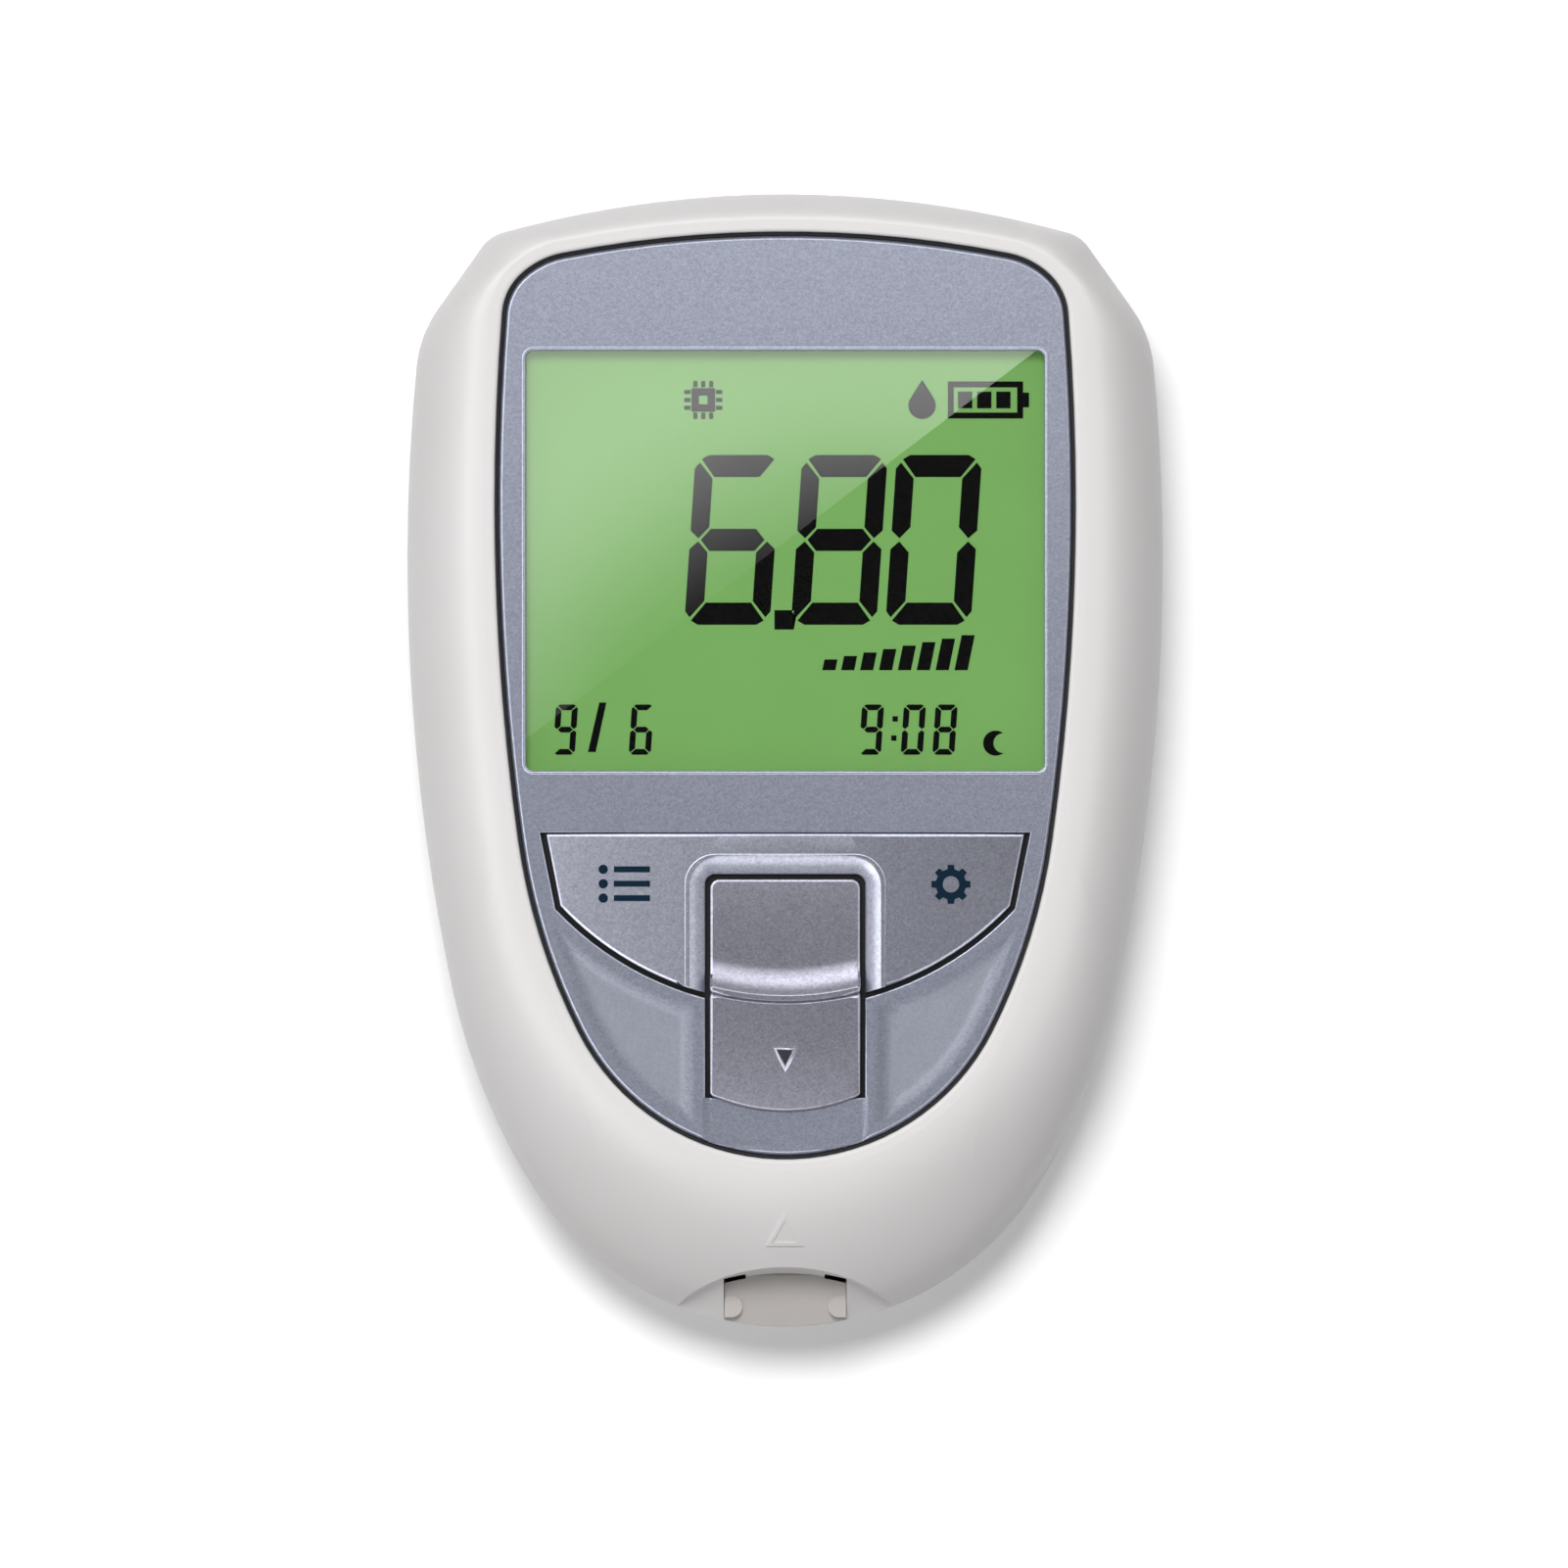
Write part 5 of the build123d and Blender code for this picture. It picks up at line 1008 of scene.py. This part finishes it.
# %% Screws in their places
def screws(node, body, head_radius, head_height, radius, length, level, upper, lower=None):
    """Screws with heads at a level, at (x, y) and its mirror image. An x of 0 gives one screw."""
    recipe = Recipe(node)
    sizes = {
        "Head Radius": head_radius, "Head Height": head_height, "Radius": radius, "Length": length,
        "Pitch": radius * 0.8, "Level": level,
    }
    inputs = [recipe.size(name, value * MM) for name, value in sizes.items()]
    pan_radius, pan_height, shank_radius, shank_length, pitch, z = inputs
    head = cross_recess(recipe, pan_head(recipe, pan_radius, pan_height), pan_radius, pan_height)
    shank = threaded_shank(recipe, shank_radius, shank_length, pitch, pan_height * 0.9)
    form = recipe.join_meshes(head, shank)
    rows = []
    for name, place in (("Upper", upper), ("Lower", lower)):
        if place:
            x, y = [recipe.size(name + axis, value * MM) for axis, value in zip((" X", " Y"), place)]
            rows.append(recipe.node(
                "GeometryNodeMeshLine", {"mode": "OFFSET"},
                {"Count": 2 if place[0] else 1, "Start Location": recipe.vector(0 - x, y, z),
                 "Offset": recipe.vector(2 * x)},
            ))
    points = recipe.join_meshes(*rows)
    placed = recipe.node("GeometryNodeInstanceOnPoints", (), {"Points": points, "Instance": form})
    recipe.finish(placed, finishes[slot_of[node]].material)
    stand_for(even_normals(recipe.make(node + "_turned"), sharp=32), node, body)


screws(
    "housing_screws", "case", head_radius=1.9, head_height=1.3, radius=0.95, length=9.0, level=3.4,
    upper=(17.0, 40.6), lower=(19.2, -24.0),
)
screws(
    "board_screws", "case", head_radius=1.6, head_height=0.9, radius=0.7, length=3.4, level=14.1,
    upper=(25.6, 22.0), lower=(11.0, -35.5),
)
screws(
    "slider_screw", "ejector", head_radius=1.1, head_height=0.6, radius=0.5, length=2.8, level=17.6,
    upper=(0.0, -15.5),
)

# %% [markdown]
# ## The ejector's spring
# A thin wire coil pushes the slider back. It follows a spiral, so a Geometry Nodes tree winds it.
# When the slider moves, the carriage presses the coil together against the lug at its lower end.

# %% The spring recipe
def wound_spring(node, body, wire, turns):
    low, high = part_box(node)
    outer = (high.x - low.x) / 2
    middle_x, middle_z = (low.x + high.x) / 2, (low.z + high.z) / 2
    recipe = Recipe(node)
    radius = recipe.size("Coil Radius", outer - wire / 2)
    length = recipe.size("Length", high.y - low.y - wire)
    thickness = recipe.size("Wire Radius", wire / 2)
    count = recipe.size("Turns", turns)
    coil = recipe.coil(radius, length, count, 32, thickness, sides=12)
    lying = recipe.moved(coil, (middle_x, high.y - wire / 2, middle_z), rotation=(pi / 2, 0, 0))
    recipe.finish(lying, finishes[slot_of[node]].material)
    piece = stand_for(even_normals(recipe.make(node + "_wound"), sharp=60), node, body)
    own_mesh(piece)


wound_spring("eject_spring", "case", wire=0.3 * MM, turns=8.0)

# %% [markdown]
# ## Signs on the keys
# The left key recalls stored readings and the right key sets the clock, so they carry a list
# and a gear. The key plate is a little crowned, so the print follows it: each point is lifted to
# the height of the crown at its place.

# %% Key signs
CROWN_RADIUS = 400 * MM
SIGN_SINK = 0.10 * MM  # how far the signs lie below the plate's highest point
crown_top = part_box("key_plate")[1].z


def list_sign(x, y, width, height):
    """Three dots with a line after each."""
    line = height * 0.17
    loops = []
    for i in range(3):
        middle = y + line / 2 + (height - line) * i / 2
        loops.append(round_loop(x + line * 0.8, middle, line * 0.8, 16))
        loops.append(box_loop(x + 2.6 * line, middle - line / 2, x + width, middle + line / 2))
    return loops


def gear_sign(x, y, radius, teeth=8):
    """A toothed wheel with a round hole."""
    outer = []
    for i in range(teeth):
        turn = tau * i / teeth
        for share, reach in ((-0.30, 0.78), (-0.2, 1.0), (0.2, 1.0), (0.30, 0.78)):
            angle = turn + share * tau / teeth
            outer.append((x + reach * radius * cos(angle), y + reach * radius * sin(angle)))
    return [outer, round_loop(x, y, radius * 0.42, 24)]


def on_crown(piece):
    for vertex in piece.data.vertices:
        vertex.co.z += sqrt(CROWN_RADIUS**2 - vertex.co.x**2) - CROWN_RADIUS - SIGN_SINK
    piece.data.update()


sign_loops = list_sign(x=-15.6, y=-11.75, width=4.3, height=2.9)
sign_loops += gear_sign(x=13.85, y=-10.35, radius=1.65)
key_signs = flat_print("key_signs", sign_loops, crown_top, key_ink)
on_crown(key_signs)
print("key signs:", len(key_signs.data.vertices), "points")

# %% [markdown]
# ## The arrowhead on the slider
# The slider's arrowhead is engraved with sloping walls. A dark grey sheet on its floor is
# painted shade in the engraving, so that it reads from afar. The sheet lies on the floor of the
# engraving.

# %% Dark floor of the arrowhead
ARROW_MIDDLE = -25.05
ARROW_HALF_WIDTH = 0.62
ARROW_BACK = ARROW_MIDDLE + 0.84
ARROW_TIP = ARROW_MIDDLE - 0.48


def level_of(piece, x, y):
    """How high a piece's top surface is at a place in millimetres."""
    bpy.context.view_layer.update()
    above = Vector((x * MM, y * MM, 1.0))
    return piece.ray_cast(above, Vector((0, 0, -1)))[1].z


# The arrowhead's floor gets a dark grey sheet: painted shade in the engraving.
arrow_ink = ink_and_shade_finish("arrow_ink", (56, 55, 61))
arrow_floor = level_of(slider, 0, ARROW_MIDDLE)
arrow_loop = [(-ARROW_HALF_WIDTH, ARROW_BACK), (ARROW_HALF_WIDTH, ARROW_BACK), (0, ARROW_TIP)]
arrow_shade_sheet = flat_print("arrow_shade_sheet", [arrow_loop], arrow_floor, arrow_ink)
print("arrow floor at", round(arrow_floor / MM, 2), "mm")

# %% [markdown]
# ## Every print moves with what carries it
# A print has no CAD node of its own, so it is told which body it rides on.

# %% Seat the prints on their bodies
for piece in (large_number, small_numbers, display_signs, battery_level, display_level):
    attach(piece, "case")
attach(key_signs, "key_rocker")
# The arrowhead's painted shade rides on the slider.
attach(arrow_shade_sheet, "ejector")
print("prints seated: 7")

# %% [markdown]
# ## The floor
# The meter lies on a plain white floor that keeps its soft shadow. The floor is see-through from
# below, so that the back of the meter and its battery door can be looked at. It lies a hair
# lower than the meter's back, because two faces at one level flicker. It glows a little, since a
# matt white under one lamp looks grey. It throws no light and no shadow on the meter: light from
# below would make the sides look flat, and the sky gives them what they need.

# %% Floor
FLOOR_REACH = 3.0
FLOOR_LEVEL = -0.03 * MM


def floor():
    mesh = bpy.data.meshes.new("floor")
    corners = [(-FLOOR_REACH, -FLOOR_REACH), (FLOOR_REACH, -FLOOR_REACH),
               (FLOOR_REACH, FLOOR_REACH), (-FLOOR_REACH, FLOOR_REACH)]
    mesh.from_pydata([(*corner, FLOOR_LEVEL) for corner in corners], [], [(0, 1, 2, 3)])
    finish = Finish(
        "floor_white", Base_Color=(0.96, 0.96, 0.96, 1.0), Roughness=0.9, Specular_IOR_Level=0.0,
        Emission_Color=(1.0, 1.0, 1.0, 1.0), Emission_Strength=0.13,
    )
    finish.feed("Alpha", 1 - finish.node("ShaderNodeNewGeometry", out="Backfacing"))
    mesh.materials.append(finish.material)
    plane = link_piece("floor", mesh)
    plane.visible_diffuse = plane.visible_shadow = False
    print("floor at", round(FLOOR_LEVEL / MM, 2), "mm")


floor()

# %% [markdown]
# ## The lamp
# One round soft lamp hangs over the meter's top end, a little to the left, so the shadow falls
# towards the nose and to the right. Mirror rays don't see it. A small bright disc in the lacquer
# would look like a torch, so what the lacquer mirrors is left to the sky.

# %% Lamp
def lamp(name, place, size, power):
    """A round soft lamp that points at the meter."""
    light = bpy.data.lights.new(name, "AREA")
    light.shape = "DISK"
    light.size = size
    light.energy = power
    stand = bpy.data.objects.new(name, light)
    stand.location = place
    stand.rotation_euler = (-Vector(place)).to_track_quat("-Z", "Y").to_euler()
    bpy.context.scene.collection.objects.link(stand)
    return stand


key_lamp = lamp("key_lamp", (-0.10, 0.45, 1.46), size=0.5, power=16.0)
key_lamp.visible_glossy = False

# %% [markdown]
# ## The sky
# The sky fills the shadows evenly, a little more from the left, and more from straight below,
# where it lights the back. For mirror rays it stands for the white tent that shiny things are
# lit in, because metal looks like metal only when it mirrors light and dark by turns:
#
# - The tent's ceiling is dark overhead, so the window stays clear and the numbers stay black.
#   It grows bright towards the meter's top end, which the slider's ridge mirrors, and less
#   bright towards its nose, which the upper bar of the rim mirrors.
# - The ceiling is brighter on the left, and both side walls are bright for the rim's side bars.
# - Low down the walls are dimmer, so the lacquer doesn't burn out when it is seen at a slant.
# - A small hole right overhead stands for the camera.

# %% What mirror rays see
def tent(studio, right, ahead, up):
    """How bright the tent is in a direction, from its parts along X, Y and Z."""
    top_end = 5.6 * ahead.at_least(0.0).at_most(0.62)
    nose_end = 2.5 * studio.map_range(ahead, -0.12, -0.60)
    tilt = 2.2 * right.at_least(-0.4).at_most(0.3)
    ceiling = 0.08 + top_end + nose_end - tilt
    left_wall = 2.3 * studio.map_range(right, -0.30, -0.55)
    right_wall = 1.7 * studio.map_range(right, 0.35, 0.65)
    steep = studio.map_range(up, 0.40, 0.68)
    low_wall = 0.75 * (1 - steep)
    around_hole = studio.map_range(up, 0.9995, 0.998)
    return ((ceiling.at_least(0.05) + left_wall + right_wall) * steep + low_wall) * around_hole


# %% Sky
def sky():
    world = bpy.data.worlds.new("sky")
    world.use_nodes = True
    studio = Graph(world.node_tree)
    right, ahead, up = studio.parts(studio.node("ShaderNodeTexCoord", out="Generated"))
    even = 0.33 - 0.12 * right + 0.5 * studio.map_range(up, -0.5, -0.9)
    glossy = studio.node("ShaderNodeLightPath", out="Is Glossy Ray")
    seen = studio.node("ShaderNodeLightPath", out="Is Camera Ray")
    level = glossy * tent(studio, right, ahead, up) + (1 - glossy) * even
    background = world.node_tree.nodes["Background"]
    background.inputs["Color"].default_value = (1, 1, 1, 1)
    studio.put(background.inputs["Strength"], seen + (1 - seen) * level)
    bpy.context.scene.world = world
    print("sky:", len(world.node_tree.nodes), "nodes")


sky()

# %% [markdown]
# ## The camera
# The camera hangs straight above the meter, a little towards its lower end. It is far away and
# uses a long lens, so that high and low parts of the meter are drawn to nearly the same scale.
# Its lens follows from the size of one pixel at the level of the meter's middle.

# %% Camera
FRAME_PIXELS = 1601
PIXEL = 0.08204 * MM  # one pixel of the frame, at the middle level
MIDDLE_LEVEL = 15 * MM
ORIGIN_PIXEL = (801.7, 776.5)  # the meter's origin, from the frame's upper left corner
CAMERA_HEIGHT = 2.8
SENSOR = 36.0  # width of the sensor, in the millimetres that Blender's lenses use

camera = bpy.data.cameras.new("camera")
camera.sensor_width = SENSOR
camera.lens = SENSOR * (CAMERA_HEIGHT - MIDDLE_LEVEL) / (FRAME_PIXELS * PIXEL)
eye = bpy.data.objects.new("camera", camera)
eye.location = (
    (FRAME_PIXELS / 2 - ORIGIN_PIXEL[0]) * PIXEL,
    (ORIGIN_PIXEL[1] - FRAME_PIXELS / 2) * PIXEL,
    CAMERA_HEIGHT,
)
bpy.context.scene.collection.objects.link(eye)
bpy.context.scene.camera = eye
bpy.context.scene.view_settings.view_transform = "Standard"
print("lens", round(camera.lens, 1), "mm")

# %% [markdown]
# ## The card in the window
# A clear window is seen by what it mirrors. A bright card with one straight edge hangs beside
# the camera, and its mirror image lies across the upper left of the window. Only mirror rays see
# the card, so it neither lights the meter nor throws a shadow. Its glow is gone near one point
# below the window's middle, which lets the reflection melt away.

# %% Card
CARD_HEIGHT = 2.0
CARD_SHARE = (CARD_HEIGHT - window_high.z) / (CAMERA_HEIGHT - window_high.z)
CARD_IMAGE = [(30.5, 41.5), (-24, 0.0), (-40, 0.0), (-40, 50.0)]  # its corners, on the window
DARK_POINT = (8.7, -12.7)  # in millimetres too, as are the reaches from it
DARK_REACH, BRIGHT_REACH = 27, 47
CARD_STRENGTH = 2.6


def card_point(x, y):
    """Where a point of the card hangs so that its image is at (x, y) millimetres on the window."""
    centre = eye.location.xy
    point = Vector((x * MM, y * MM))
    return (*((point - centre) * (1 + CARD_SHARE) + centre), CARD_HEIGHT)


def card_finish():
    """Glows evenly far from the dark point, and not at all near it."""
    material = bpy.data.materials.new("card_glow")
    material.use_nodes = True
    glow = Graph(material.node_tree)
    material.node_tree.nodes.clear()
    place = glow.node("ShaderNodeTexCoord", out="Object")
    away = glow.node(
        "ShaderNodeVectorMath", {"operation": "DISTANCE"}, {0: place, 1: card_point(*DARK_POINT)},
        out="Value",
    )
    scale = (1 + CARD_SHARE) * MM
    strength = CARD_STRENGTH * glow.map_range(away, DARK_REACH * scale, BRIGHT_REACH * scale)
    light = glow.node("ShaderNodeEmission", (), {"Strength": strength})
    end = material.node_tree.nodes.new("ShaderNodeOutputMaterial")
    material.node_tree.links.new(light.socket, end.inputs[0])
    return material


def hang_card():
    mesh = bpy.data.meshes.new("window_card")
    mesh.from_pydata([card_point(*corner) for corner in CARD_IMAGE], [], [(0, 1, 2, 3)])
    mesh.materials.append(card_finish())
    card = link_piece("window_card", mesh)
    card.visible_camera = card.visible_diffuse = card.visible_shadow = False
    card.visible_transmission = card.visible_volume_scatter = False
    print("card at", CARD_HEIGHT, "m")


hang_card()
